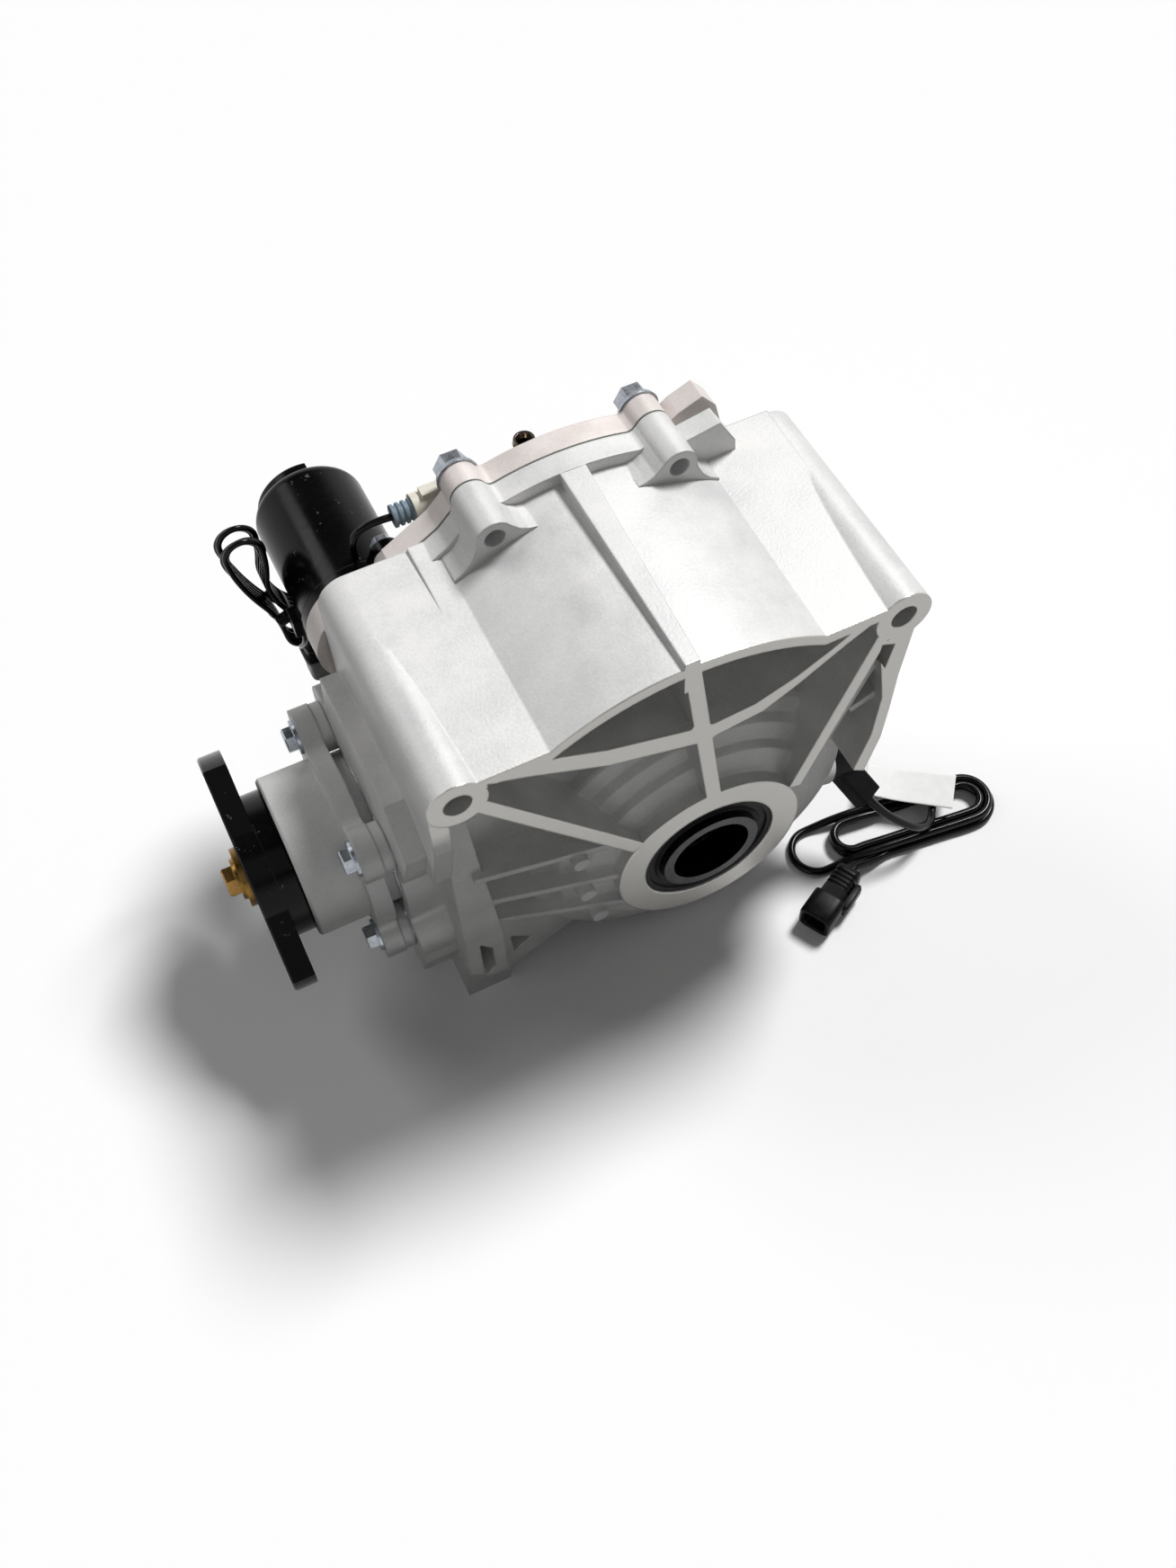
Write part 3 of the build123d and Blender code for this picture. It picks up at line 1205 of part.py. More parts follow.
with BuildPart() as housing_shim:
    with BuildSketch(side_plane(mouth_x)):
        with Locations((-pinion_y, 0)):
            Circle(spigot_r + 5)
        with Locations(*lobes_at):
            Circle(housing_lobe_r - 1.5)
        offset(amount=4, kind=Kind.ARC)
        offset(amount=-4, kind=Kind.ARC)
        with Locations((-pinion_y, 0)):
            Circle(spigot_r + slip_gap, mode=Mode.SUBTRACT)
        with Locations(*lobes_at):
            Circle(housing_bolt_r + slip_gap, mode=Mode.SUBTRACT)
    extrude(amount=shim_thick)
finish(housing_shim.part, "housing_shim")
finish(cross_ring(spigot_r, spigot_r - o_ring_thick, o_ring_x, o_ring_width), "housing_o_ring")
housing_bolt_parts = []
for sheet_x, z in lobes_at:
    seat = Plane(origin=(plate_x, -sheet_x, z), x_dir=(0, -1, 0), z_dir=(-1, 0, 0))
    housing_bolt_parts.append(flange_bolt(seat, housing_bolt_r, 29.0, 10.0, 5.0, 7.8, 1.5))
finish(Compound(children=housing_bolt_parts), "housing_bolts")

# Drive flange with its hub, washer and centre bolt
flange_hub_start = outer_bearing_x - pinion_bearing_width - 0.1
with BuildPart() as drive_flange:
    with BuildSketch(side_plane(flange_hub_start)):
        with Locations((-pinion_y, 0)):
            Circle(pinion_sleeve_r)
    extrude(amount=flange_hub_start - drive_plate_x)
    with BuildSketch(side_plane(housing_left_x - 0.6)):
        with Locations((-pinion_y, 0)):
            Circle(dust_hub_r)
    extrude(amount=housing_left_x - 0.6 - drive_plate_x - drive_plate_thick)
    with BuildSketch(side_plane(drive_plate_x + drive_plate_thick)):
        with Locations(Location((-pinion_y, 0, 0), (0, 0, 180 - drive_plate_tilt))):
            Rectangle(2 * drive_plate_half, 2 * drive_plate_half_width)
        with Locations((-pinion_y, 0)):
            Circle(drive_plate_half, mode=Mode.INTERSECT)
            Circle(dust_hub_r - 1)
    extrude(amount=drive_plate_thick)
    chamfer(faces().sort_by(Axis.X)[0].edges(), 0.8)
    with BuildSketch(side_plane(flange_hub_start + 1)):
        with Locations((-pinion_y, 0)):
            Circle(drive_hub_bore_r)
    extrude(amount=60, mode=Mode.SUBTRACT)
    with BuildSketch(side_plane(drive_plate_x + drive_plate_thick + 1)):
        with Locations(Location((-pinion_y, 0, 0), (0, 0, 180 - drive_plate_tilt))):
            with Locations((drive_hole_pcd / 2, 0), (-drive_hole_pcd / 2, 0)):
                Circle(drive_hole_r)
    extrude(amount=drive_plate_thick + 2, mode=Mode.SUBTRACT)
finish(drive_flange.part, "drive_flange")
washer_thick = 2.5
washer_r = drive_hub_bore_r + 2.5
finish(cross_ring(washer_r, centre_bolt_r + slip_gap, drive_plate_x, washer_thick), "drive_flange_washer")
bolt_seat = Plane(origin=(drive_plate_x - washer_thick, pinion_y, 0), x_dir=(0, -1, 0), z_dir=(-1, 0, 0))
finish(flange_bolt(bolt_seat, centre_bolt_r, 30.0, 12.0, 5.6, 9.4, 1.6), "drive_flange_bolt")

# Lock collar on the far hub, its fork, rail and lead screw
with BuildPart() as lock_collar:
    with BuildSketch(case_plane(collar_y + dog_height)):
        Circle(collar_r)
    extrude(amount=-collar_width)
    with BuildSketch(case_plane(collar_y)):
        with PolarLocations(dog_middle_r, dog_count, start_angle=180 / dog_count):
            Rectangle(dog_outer_r - dog_inner_r, dog_width)
    extrude(amount=-dog_height)
    with BuildSketch(case_plane(collar_y)):
        Circle(hub_root_r + slip_gap)
        with PolarLocations(hub_spline_outer_r - 1.5, hub_splines):
            Rectangle(3.0 + 2 * slip_gap, 5.0 + 2 * slip_gap)
    extrude(amount=-20, mode=Mode.SUBTRACT)
    with BuildSketch(case_plane(collar_y + dog_height + (collar_width - groove_width) / 2)):
        Circle(collar_r + 1)
        Circle(groove_r, mode=Mode.SUBTRACT)
    extrude(amount=-groove_width, mode=Mode.SUBTRACT)
finish(lock_collar.part, "lock_collar")

fork_y = collar_y + dog_height + (collar_width - fork_thick) / 2
fork_r = collar_r + 7.5
fork_angle = math.degrees(math.atan2(screw_z, screw_x))
with BuildPart() as shift_fork:
    with BuildSketch(case_plane(fork_y)):
        Circle(fork_r)
        bar(around(fork_r - 6, fork_angle), (screw_x, screw_z), 15)
        bar(around(fork_r - 6, fork_angle - 22), (rail_x, rail_z), 11)
        Circle(groove_r + body_gap, mode=Mode.SUBTRACT)
        with Locations(Location((0, 0, 0), (0, 0, fork_angle))):
            with Locations((-45, 0)):
                Rectangle(90, 120, mode=Mode.SUBTRACT)
            with Locations((0, 0)):
                Rectangle(22, 2 * groove_r + 1, mode=Mode.SUBTRACT)
    extrude(amount=-fork_thick)
    with BuildSketch(case_plane(fork_y)):
        with Locations((screw_x, screw_z), (rail_x, rail_z)):
            Circle(nut_r)
    extrude(amount=-6.5)
    with BuildSketch(case_plane(fork_y - 1)):
        with Locations((screw_x, screw_z)):
            Circle(screw_r + running_gap)
        with Locations((rail_x, rail_z)):
            Circle(rail_r + running_gap)
    extrude(amount=-10, mode=Mode.SUBTRACT)
finish(shift_fork.part, "shift_fork")
rail_y = drive_gear_y + drive_gear_thick + body_gap
finish(ring(rail_r, 0, rail_y, screw_end_y - rail_y, at=(rail_x, rail_z)), "fork_rail")


def spur_gear(teeth, start_angle):
    """Outline of a spur gear about the sheet's origin, with a tooth at the start angle."""
    pitch_r = drive_module * teeth / 2
    base_r = pitch_r * math.cos(math.radians(20))
    tip_r = pitch_r + 0.9 * drive_module
    root_r = pitch_r - 1.25 * drive_module
    involute = math.tan(math.radians(20)) - math.radians(20)
    half_pitch = 0.45 * math.pi / teeth
    points = []
    for tooth in range(teeth):
        middle = math.radians(start_angle) + 2 * math.pi * tooth / teeth
        flank = []
        for r in (root_r, max(base_r, root_r + 0.1), pitch_r, tip_r):
            pressure = math.acos(min(1.0, base_r / r))
            half = half_pitch + involute - (math.tan(pressure) - pressure)
            flank.append((r, half))
        for r, half in flank:
            points.append((r * math.cos(middle - half), r * math.sin(middle - half)))
        for r, half in reversed(flank):
            points.append((r * math.cos(middle + half), r * math.sin(middle + half)))
    with BuildSketch() as outline:
        Polygon(*points, align=None)
    return outline.sketch


# A tooth of the big gear points at the motor, and a space of the small one at the screw
big_gear = spur_gear(drive_teeth, 180 + drive_gear_angle)
small_gear = spur_gear(motor_teeth, drive_gear_angle + 180 / motor_teeth)
with BuildPart() as lock_screw:
    with BuildSketch(case_plane(drive_gear_y)):
        with Locations((screw_x, screw_z)):
            add(big_gear)
        with Locations((screw_x, screw_z)):
            with PolarLocations(17, 5):
                Circle(5.5, mode=Mode.SUBTRACT)
    extrude(amount=-drive_gear_thick)
    with BuildSketch(case_plane(drive_gear_y - 0.5)):
        with Locations((screw_x, screw_z)):
            Circle(screw_r)
    extrude(amount=-(lock_depth - 0.4 - drive_gear_y + 0.5))
    with BuildSketch(case_plane(lock_depth - 1)):
        with Locations((screw_x, screw_z)):
            Circle(screw_journal_r)
    extrude(amount=-(screw_end_y - lock_depth + 1))
finish(lock_screw.part, "lock_screw")

# Shift motor: foot, can and rotor
foot_bore_r = 3.05
shaft_r = 3.0
with BuildPart() as motor_foot_part:
    with BuildSketch(case_plane(motor_face_y)):
        with Locations((motor_x, motor_z)):
            Circle(motor_base_r)
        for place in motor_ears_at:
            bar((motor_x, motor_z), place, 12)
            with Locations(place):
                Circle(6.5)
    extrude(amount=-motor_foot)
    with BuildSketch(case_plane(motor_face_y)):
        with Locations((motor_x, motor_z)):
            Circle(9.9)
    extrude(amount=motor_face_y - drive_gear_y - drive_gear_thick - 1.8)
    with BuildSketch(case_plane(drive_gear_y)):
        with Locations((motor_x, motor_z)):
            Circle(foot_bore_r)
        with Locations(*motor_ears_at):
            Circle(2.65)
    extrude(amount=-30, mode=Mode.SUBTRACT)
finish(motor_foot_part.part, "motor_foot")

can_y = motor_face_y + motor_foot
with BuildPart() as shift_motor:
    with BuildSketch(case_plane(can_y)):
        with Locations((motor_x, motor_z)):
            Circle(motor_r)
    extrude(amount=-(motor_length - 4))
    fillet(faces().sort_by(Axis.Y)[-1].edges(), 5.5)
    with BuildSketch(case_plane(can_y + motor_length - 8)):
        with Locations((motor_x, motor_z)):
            Circle(motor_r - 3.5)
        with Locations((motor_x + motor_r, motor_z)):
            Rectangle(2 * motor_r - 8, 60, mode=Mode.SUBTRACT)
    extrude(amount=-8)
    fillet(faces().sort_by(Axis.Y)[-1].edges(), 1.2)
    with BuildSketch(case_plane(can_y + 4)):
        with Locations((motor_x - motor_r, motor_z - 6)):
            Rectangle(7, 9)
    extrude(amount=-9)
    with BuildSketch(case_plane(can_y)):
        with Locations((motor_x, motor_z)):
            Circle(motor_r - 2)
    extrude(amount=-(motor_length - 14), mode=Mode.SUBTRACT)
    with BuildSketch(case_plane(can_y + 6)):
        with Locations((motor_x, motor_z)):
            Circle(motor_r - 1.9)
            Circle(motor_r - 6, mode=Mode.SUBTRACT)
            Rectangle(60, 9, mode=Mode.SUBTRACT)
    extrude(amount=-30)
    with BuildSketch(case_plane(can_y + 40)):
        with Locations((motor_x, motor_z)):
            Circle(foot_bore_r)
    extrude(amount=-8, mode=Mode.SUBTRACT)
finish(shift_motor.part, "shift_motor")

with BuildPart() as motor_rotor:
    with BuildSketch(case_plane(drive_gear_y - 0.3)):
        with Locations((motor_x, motor_z)):
            add(small_gear)
    extrude(amount=-(drive_gear_thick + 0.8))
    with BuildSketch(case_plane(drive_gear_y)):
        with Locations((motor_x, motor_z)):
            Circle(shaft_r)
    extrude(amount=-(can_y + 47 - drive_gear_y))
    with BuildSketch(case_plane(can_y + 7)):
        with Locations((motor_x, motor_z)):
            Circle(motor_r - 7)
            with PolarLocations(motor_r - 8.5, 8):
                Rectangle(5, 1.6, mode=Mode.SUBTRACT)
    extrude(amount=-28)
finish(motor_rotor.part, "motor_rotor")
motor_screw_parts = []
for x, z in motor_ears_at:
    seat = Plane(origin=(x, can_y, z), x_dir=(1, 0, 0), z_dir=(0, 1, 0))
    motor_screw_parts.append(flange_bolt(seat, 2.5, 14.0, 8.0, 4.4, 5.0, 1.2))
finish(Compound(children=motor_screw_parts), "motor_screws")

# Speed sensor
arm_length = 24.0
arm_direction = Vector(10, -19, -16).normalized()
arm_across = Vector(0, 0, 1).cross(arm_direction).normalized()
head_centre = sensor_plane(sensor_pad_r + 7).origin
arm_plane = Plane(origin=head_centre, x_dir=arm_across, z_dir=arm_direction)
with BuildPart() as speed_sensor:
    with BuildSketch(sensor_plane(carrier_flange_r + 1.2)):
        Circle(sensor_body_r)
    extrude(amount=sensor_pad_r + 1 - carrier_flange_r - 1.2)
    with BuildSketch(sensor_plane(sensor_pad_r)):
        Circle(sensor_head_r)
    extrude(amount=sensor_head_height)
    with BuildSketch(sensor_plane(sensor_pad_r)):
        with Locations((0, sensor_ear)):
            Circle(5.4)
        Polygon((-8, 2), (8, 2), (5.4, sensor_ear), (-5.4, sensor_ear), align=None)
        with Locations((0, sensor_ear)):
            Circle(2.65, mode=Mode.SUBTRACT)
    extrude(amount=4)
    with BuildSketch(arm_plane):
        RectangleRounded(13, 8.5, 1.5)
    extrude(amount=arm_length)
finish(speed_sensor.part, "speed_sensor")
screw_seat_plane = sensor_plane(sensor_pad_r + 4)
screw_origin = screw_seat_plane.origin + Vector(0, sensor_ear, 0)
screw_seat = Plane(origin=screw_origin, x_dir=screw_seat_plane.x_dir, z_dir=screw_seat_plane.z_dir)
finish(flange_bolt(screw_seat, 2.5, 11.5, 8.0, 4.0, 4.8, 1.1), "sensor_screw")


# Leads: straight runs joined by tangent arcs
def lead(route, tube_r, label):
    """A flexible lead along its route; the arcs are as large as their runs allow."""
    corners = [Vector(*point) for point in route]
    radii = []
    for before, corner, after in zip(corners, corners[1:], corners[2:]):
        run = min((corner - before).length, (after - corner).length)
        turn = (corner - before).get_angle(after - corner)
        radii.append(bend_share * run / math.tan(math.radians(turn / 2)))
    with BuildPart() as made:
        with BuildLine() as path:
            FilletPolyline(*corners, radius=radii)
        with BuildSketch(Plane(origin=path.line @ 0, z_dir=path.line % 0)):
            Circle(tube_r)
        sweep(path=path.line)
    return finish(made.part, label)


arm_end = head_centre + arm_direction * arm_length
sensor_route = [tuple(arm_end), tuple(arm_end + arm_direction * 10), (106.0, -4.0, -58.0),
                (114.0, -3.0, -65.0),
                (121.0, 0.0, -69.6)]
lead(sensor_route, sensor_lead_r, "sensor_lead")
coil_low_z = floor_z
coil_height = 11.0
with BuildPart() as sensor_coil:
    with BuildSketch(Plane.XY.offset(coil_low_z)):
        with Locations((68, 15)):
            Circle(13)
        with Locations((84, 13), (144, 6)):
            Circle(15)
        make_hull()
    extrude(amount=coil_height)
finish(sensor_coil.part, "sensor_lead_coil")
plug_place = Plane(origin=(74.0, -5.0, floor_z + 7.2), x_dir=(0, 0, 1), z_dir=(-0.88, -0.475, 0))
with BuildPart() as sensor_plug:
    with BuildSketch(plug_place):
        RectangleRounded(13, 12, 3)
    extrude(amount=18)
    with BuildSketch(plug_place.offset(18)):
        RectangleRounded(14, 16, 4)
    extrude(amount=14)
    with BuildSketch(plug_place.offset(6)):
        with Locations((0, -8)):
            Rectangle(7, 5)
    extrude(amount=14)
    with BuildSketch(plug_place.offset(22)):
        RectangleRounded(9, 11, 2)
    extrude(amount=11, mode=Mode.SUBTRACT)
finish(sensor_plug.part, "sensor_plug")
tag_thick = 0.5
with BuildPart() as sensor_tag:
    with BuildSketch(Plane.XY.offset(coil_low_z + coil_height)):
        with Locations(Location((121, 20, 0), (0, 0, -38))):
            Rectangle(42, 18)
    extrude(amount=tag_thick)
finish(sensor_tag.part, "sensor_tag")

switch_route = [(switch_end_x - 8.4, switch_y, switch_z), (-85.5, 123.8, 122.0), (-93.5, 125.0, 115.5),
                (-92.0, 126.5, 102.9)]
lead(switch_route, switch_lead_r, "switch_lead")

hank_y = 143.0
hank_depth = 14.0
motor_route = [(-118.6, 131.5, 69.5), (-118.6, 132.0, 61.0), (-118.6, 135.0, 54.0), (-118.6, 139.5, 49.5),
               (-118.6, hank_y + 0.4, 46.5)]
lead(motor_route, motor_lead_r, "motor_lead")
hank_r = 6.5
hank_ends = [(-131.0, 108.0), (-129.5, 80.0), (-115.0, 46.0)]
with BuildPart() as motor_hank:
    for start, end in zip(hank_ends, hank_ends[1:]):
        with BuildSketch(case_plane(hank_y)):
            with Locations(start, end):
                Circle(hank_r)
            make_hull()
        extrude(amount=-hank_depth)
finish(motor_hank.part, "motor_lead_hank")

# The tie lies square across the lower run of the hank
tie_width = 5.0
tie_thick = 1.0
tie_share = 0.4
hank_run = Vector(hank_ends[2][0] - hank_ends[1][0], 0, hank_ends[2][1] - hank_ends[1][1])
tie_at = Vector(hank_ends[1][0], hank_y + hank_depth / 2, hank_ends[1][1]) + hank_run * tie_share
tie_place = Plane(origin=tie_at, x_dir=(0, 1, 0), z_dir=hank_run.normalized())
with BuildPart() as motor_tie:
    with BuildSketch(tie_place):
        Rectangle(hank_depth + 2 * tie_thick, 2 * (hank_r + tie_thick))
        Rectangle(hank_depth, 2 * hank_r, mode=Mode.SUBTRACT)
        with Locations((-hank_depth / 2 - 2, 0)):
            Rectangle(3, 6)
    extrude(amount=tie_width)
finish(motor_tie.part, "motor_lead_tie")
motor_plug_z = 16.0
with BuildPart() as motor_plug:
    with BuildSketch(Plane.XY.offset(motor_plug_z)):
        with Locations((-112.5, hank_y + hank_depth / 2)):
            RectangleRounded(12, 13, 3)
    extrude(amount=24)
    with BuildSketch(Plane.XY.offset(motor_plug_z + 10)):
        with Locations((-112.5, hank_y + hank_depth / 2)):
            RectangleRounded(14, 15, 3)
    extrude(amount=3)
    with BuildSketch(Plane.XY.offset(motor_plug_z)):
        with Locations((-112.5, hank_y + hank_depth / 2)):
            RectangleRounded(8.5, 9.5, 2)
    extrude(amount=12, mode=Mode.SUBTRACT)
finish(motor_plug.part, "motor_lead_plug")
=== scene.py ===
import math

import bpy
import numpy as np
from mathutils import Matrix, Vector


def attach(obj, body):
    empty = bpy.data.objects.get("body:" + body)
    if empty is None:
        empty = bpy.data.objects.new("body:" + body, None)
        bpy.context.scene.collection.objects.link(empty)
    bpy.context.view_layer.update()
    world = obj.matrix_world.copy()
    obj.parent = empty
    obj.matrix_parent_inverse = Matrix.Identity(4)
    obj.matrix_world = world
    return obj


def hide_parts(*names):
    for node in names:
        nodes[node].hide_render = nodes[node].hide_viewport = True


# Rear axle gearbox with shift motor, speed sensor and their tied leads, on a pale studio floor.
# Lengths in this script are millimetres until MM turns them to metres.
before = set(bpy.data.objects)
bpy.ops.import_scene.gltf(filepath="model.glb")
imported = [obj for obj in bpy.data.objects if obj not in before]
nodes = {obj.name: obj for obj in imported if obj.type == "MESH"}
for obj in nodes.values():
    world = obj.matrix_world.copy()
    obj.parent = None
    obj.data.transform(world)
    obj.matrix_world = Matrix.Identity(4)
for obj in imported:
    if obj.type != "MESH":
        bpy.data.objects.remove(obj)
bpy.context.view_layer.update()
MM = 0.001
FLOOR_Z = -80.0

# The camera's place and the nearest that it sees, in metres, the directions to its right and to its back,
# and its lens and film width
CAMERA_PLACE = (-0.1775, -0.2846, 0.5780)
NEAREST_SEEN = 0.01
CAMERA_RIGHT = (0.8980, -0.4392, -0.0282)
CAMERA_BACK = (-0.2137, -0.4912, 0.8444)
LENS = 36.66
FILM_WIDTH = 36.0


def place_camera():
    """The camera stands above the drive flange side and looks down at about 58 degrees."""
    right = Vector(CAMERA_RIGHT).normalized()
    back = Vector(CAMERA_BACK).normalized()
    up = back.cross(right).normalized()
    data = bpy.data.cameras.new("photo_camera")
    camera = bpy.data.objects.new("photo_camera", data)
    bpy.context.scene.collection.objects.link(camera)
    turn = Matrix((right, up, back)).transposed().to_4x4()
    camera.matrix_world = Matrix.Translation(CAMERA_PLACE) @ turn
    data.sensor_width = FILM_WIDTH
    data.lens = LENS
    data.clip_start = NEAREST_SEEN
    bpy.context.scene.camera = camera


place_camera()


# Leads
def lead_curve(name, points, diameter):
    """A round lead: a circle carried along a smooth line that its points pull towards them. The circle is
    one metre in radius, and each point's own radius shrinks it to the lead's."""
    curve = bpy.data.curves.new(name, "CURVE")
    curve.dimensions = "3D"
    curve.bevel_depth = 1.0
    curve.bevel_resolution = 5
    curve.resolution_u = 6
    curve.use_fill_caps = True
    spline = curve.splines.new("NURBS")
    spline.points.add(len(points) - 1)
    placed = np.column_stack([np.array(points, float) * MM, np.ones(len(points))])
    spline.points.foreach_set("co", placed.ravel())
    spline.points.foreach_set("radius", np.full(len(points), diameter / 2 * MM))
    spline.order_u = 3
    spline.use_endpoint_u = True
    made = bpy.data.objects.new(name, curve)
    bpy.context.scene.collection.objects.link(made)
    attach(made, "axle_case")
    return made


# Degrees between a half circle's pull points, and how far back on its tangents its first and last ones
# stand, as a share of its radius
ARC_STEP = 30
ARC_BACK = 0.33


def half_circle():
    """Pull points for a half circle, as shares of its radius: out of its end, and across from one side to
    the other. From half a step inside its ends they stand a step apart, at 1 / cos(half a step), so that
    the line touches the circle between them, and one more stands back on each tangent."""
    turn = np.radians(np.arange(90 - ARC_STEP // 2, -90, -ARC_STEP))
    pull = 1 / math.cos(math.radians(ARC_STEP // 2))
    return list(zip(np.r_[-ARC_BACK, pull * np.cos(turn), -ARC_BACK], np.r_[1.0, pull * np.sin(turn), -1.0]))


SENSOR_LEAD_WIDE = 3.8
# Where the sensor's connector begins, and the way from there to its socket
PLUG_START = (74.0, -5.0, -72.8)
PLUG_ALONG = (-0.88, -0.475, 0.0)
# Each turn of the sensor's coil in the order it is wound: half width, height, middle of its left end, and
# how far that end sinks towards the floor
COIL_TURNS = [(11.4, -74.3, 68.0, 3.8), (7.5, -74.3, 85.0, 0.0), (9.2, -78.1, 87.0, 0.0),
              (13.1, -78.1, 97.0, 0.0)]
# Where each turn passes to the next along its back run: the shares of the run, of the step out and of the
# step down
COIL_PASSES = [((0.60, 0.0, 0.0), (0.72, 0.5, 0.5), (0.84, 1.0, 1.0)), ((0.22, 0.0, 0.0), (0.41, 0.0, 0.5),
               (0.58, 0.5, 1.0), (0.76, 1.0, 1.0)), ((0.12, 0.0, 0.0), (0.24, 0.5, 0.5), (0.38, 1.0, 1.0))]
# The middle of the coil's right end, how its centre line falls to the right, where along the front run its
# points stand, and where the turn whose left end sinks is level again
COIL_RIGHT = (144.0, 6.0)
COIL_SLOPE = -7.0 / 60.0
COIL_FRONT = (0.4, 0.8)
COIL_LEVEL_X = 84.0
# From the last turn to the connector
COIL_TAIL = [(97.0, -1.6, -78.1), (90.0, -2.6, -77.0), (82.0, -3.2, -74.4), (77.5, -3.6, -73.0), PLUG_START]


def coil_middle(x):
    """The y of the coil's centre line at x."""
    return COIL_RIGHT[1] + COIL_SLOPE * (x - COIL_RIGHT[0])


def coil_points():
    """Flat ovals laid in each other and on each other: a half circle round the right end, a run to the
    left, a half circle round the left end and a run back. The centre line is y = 6 + (144 - x) * 7 / 60."""
    points = []
    for number, (half, height, left_x, sink) in enumerate(COIL_TURNS):
        left_y = coil_middle(left_x)
        points += [(COIL_RIGHT[0] + half * out, COIL_RIGHT[1] + half * across, height)
                   for out, across in half_circle()]
        for share in COIL_FRONT:
            points.append((COIL_RIGHT[0] + (left_x - COIL_RIGHT[0]) * share,
                           COIL_RIGHT[1] + (left_y - COIL_RIGHT[1]) * share - half, height))
        if number == len(COIL_TURNS) - 1:
            points += COIL_TAIL
            break
        points += [(left_x - half * out, left_y - half * across, height - sink)
                   for out, across in half_circle()]
        next_half, next_height, _, _ = COIL_TURNS[number + 1]
        if sink:
            points.append((COIL_LEVEL_X, coil_middle(COIL_LEVEL_X) + half, height))
        for share, out, down in COIL_PASSES[number]:
            x = left_x + (COIL_RIGHT[0] - left_x) * share
            points.append((x, coil_middle(x) + half + (next_half - half) * out,
                           height + (next_height - height) * down))
    return points


# From the sensor's arm down to the coil
SENSOR_LEAD = [(88.85, 10.97, -40.30), (92.58, 3.88, -46.27), (106.0, -4.0, -58.0), (114.0, -3.0, -65.0),
               (121.0, 0.0, -69.6), (127.0, 8.0, -69.9), (131.5, 14.5, -70.0), (136.0, 17.6, -71.8)]
sensor_lead = lead_curve("sensor_lead_wound", SENSOR_LEAD + coil_points(), SENSOR_LEAD_WIDE)
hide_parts("sensor_lead", "sensor_lead_coil")

MOTOR_LEAD_WIDE = 2.4
MOTOR_PLUG_START = (-112.5, 150.0, 40.0)
# The hank: its rows along Y, and the middles of its top loops, its bend, its tie and its bottom loops in X
# and Z
HANK_ROWS = (145.0, 147.6, 150.2, 152.8, 155.4)
HANK_TOP = np.array((-131.0, 106.0))
HANK_BEND = np.array((-129.5, 82.0))
HANK_TIE = np.array((-123.7, 66.4))
HANK_LOW = np.array((-116.0, 49.4))
HANK_NECK = HANK_LOW * 0.45 + HANK_TIE * 0.55
HANK_SHOULDER = (HANK_TOP + HANK_BEND) / 2
# The radius of the loops' ends, half their width at the neck, at the tie, at the bend and at the shoulder,
# and how far above the tie's middle they are narrowest
HANK_LOOP_R = 7.4
NECK_HALF = 4.4
TIE_HALF = 2.2
BEND_HALF = 3.4
SHOULDER_HALF = 6.4
TIE_ABOVE = 1.5
# The tops don't lie alike: each sways aside by a sine of its number, and each hangs a step lower than the
# last, starting again from the top at every third
LOOP_SWAY = 0.9
LOOP_SWAY_TURN = 2.1
LOOP_DROP = 2.6
# Directions down the hank and across it, below its bend and above it
LOW_DOWN = np.array((0.392, -0.920))
LOW_OUT = np.array((0.920, 0.392))
TOP_DOWN = np.array((0.062, -0.998))
TOP_OUT = np.array((0.998, 0.062))
# From the last row to the connector
HANK_TAIL = [(-119.9, 155.4, 58.0), (-116.8, 154.8, 52.0), (-114.4, 153.0, 47.0), (-113.0, 151.0, 43.6),
             MOTOR_PLUG_START]


def hank_points():
    """Upright loops side by side: up, over the top in a half circle, down, pinched together by the tie, and
    round below in a half circle while the lead passes on to the next row."""
    points = []
    for number, row in enumerate(HANK_ROWS):
        top = (HANK_TOP - TOP_OUT * LOOP_SWAY * math.sin(LOOP_SWAY_TURN * number)
               + TOP_DOWN * LOOP_DROP * (number % 3))
        rising = [HANK_NECK + LOW_OUT * NECK_HALF, HANK_TIE + LOW_OUT * TIE_HALF - LOW_DOWN * TIE_ABOVE,
                  HANK_BEND + LOW_OUT * BEND_HALF, HANK_SHOULDER + TOP_OUT * SHOULDER_HALF]
        falling = [HANK_SHOULDER - TOP_OUT * SHOULDER_HALF, HANK_BEND - LOW_OUT * BEND_HALF,
                   HANK_TIE - LOW_OUT * TIE_HALF - LOW_DOWN * TIE_ABOVE]
        over = [top + HANK_LOOP_R * (across * TOP_OUT - out * TOP_DOWN) for out, across in half_circle()]
        points += [(x, row, z) for x, z in rising + over + falling]
        if number < len(HANK_ROWS) - 1:
            x, z = HANK_NECK - LOW_OUT * NECK_HALF
            points.append((x, row, z))
            for out, across in half_circle():
                x, z = HANK_LOW + HANK_LOOP_R * (out * LOW_DOWN - across * LOW_OUT)
                points.append((x, row + (HANK_ROWS[number + 1] - row) * (1 - across) / 2, z))
    return points + HANK_TAIL


# From the motor down to the hank's first row
MOTOR_LEAD = [(-118.6, 131.5, 69.5), (-118.6, 132.0, 61.0), (-119.4, 135.0, 54.5), (-120.3, 138.5, 49.8),
              (-119.9, 141.6, 45.8), (-117.3, 143.9, 42.6), (-113.3, 145.0, 41.7), (-109.8, 145.0, 44.1),
              (-108.3, 145.0, 48.1), (-109.2, 145.0, 52.6)]
motor_lead = lead_curve("motor_lead_wound", MOTOR_LEAD + hank_points(), MOTOR_LEAD_WIDE)
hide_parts("motor_lead", "motor_lead_hank")

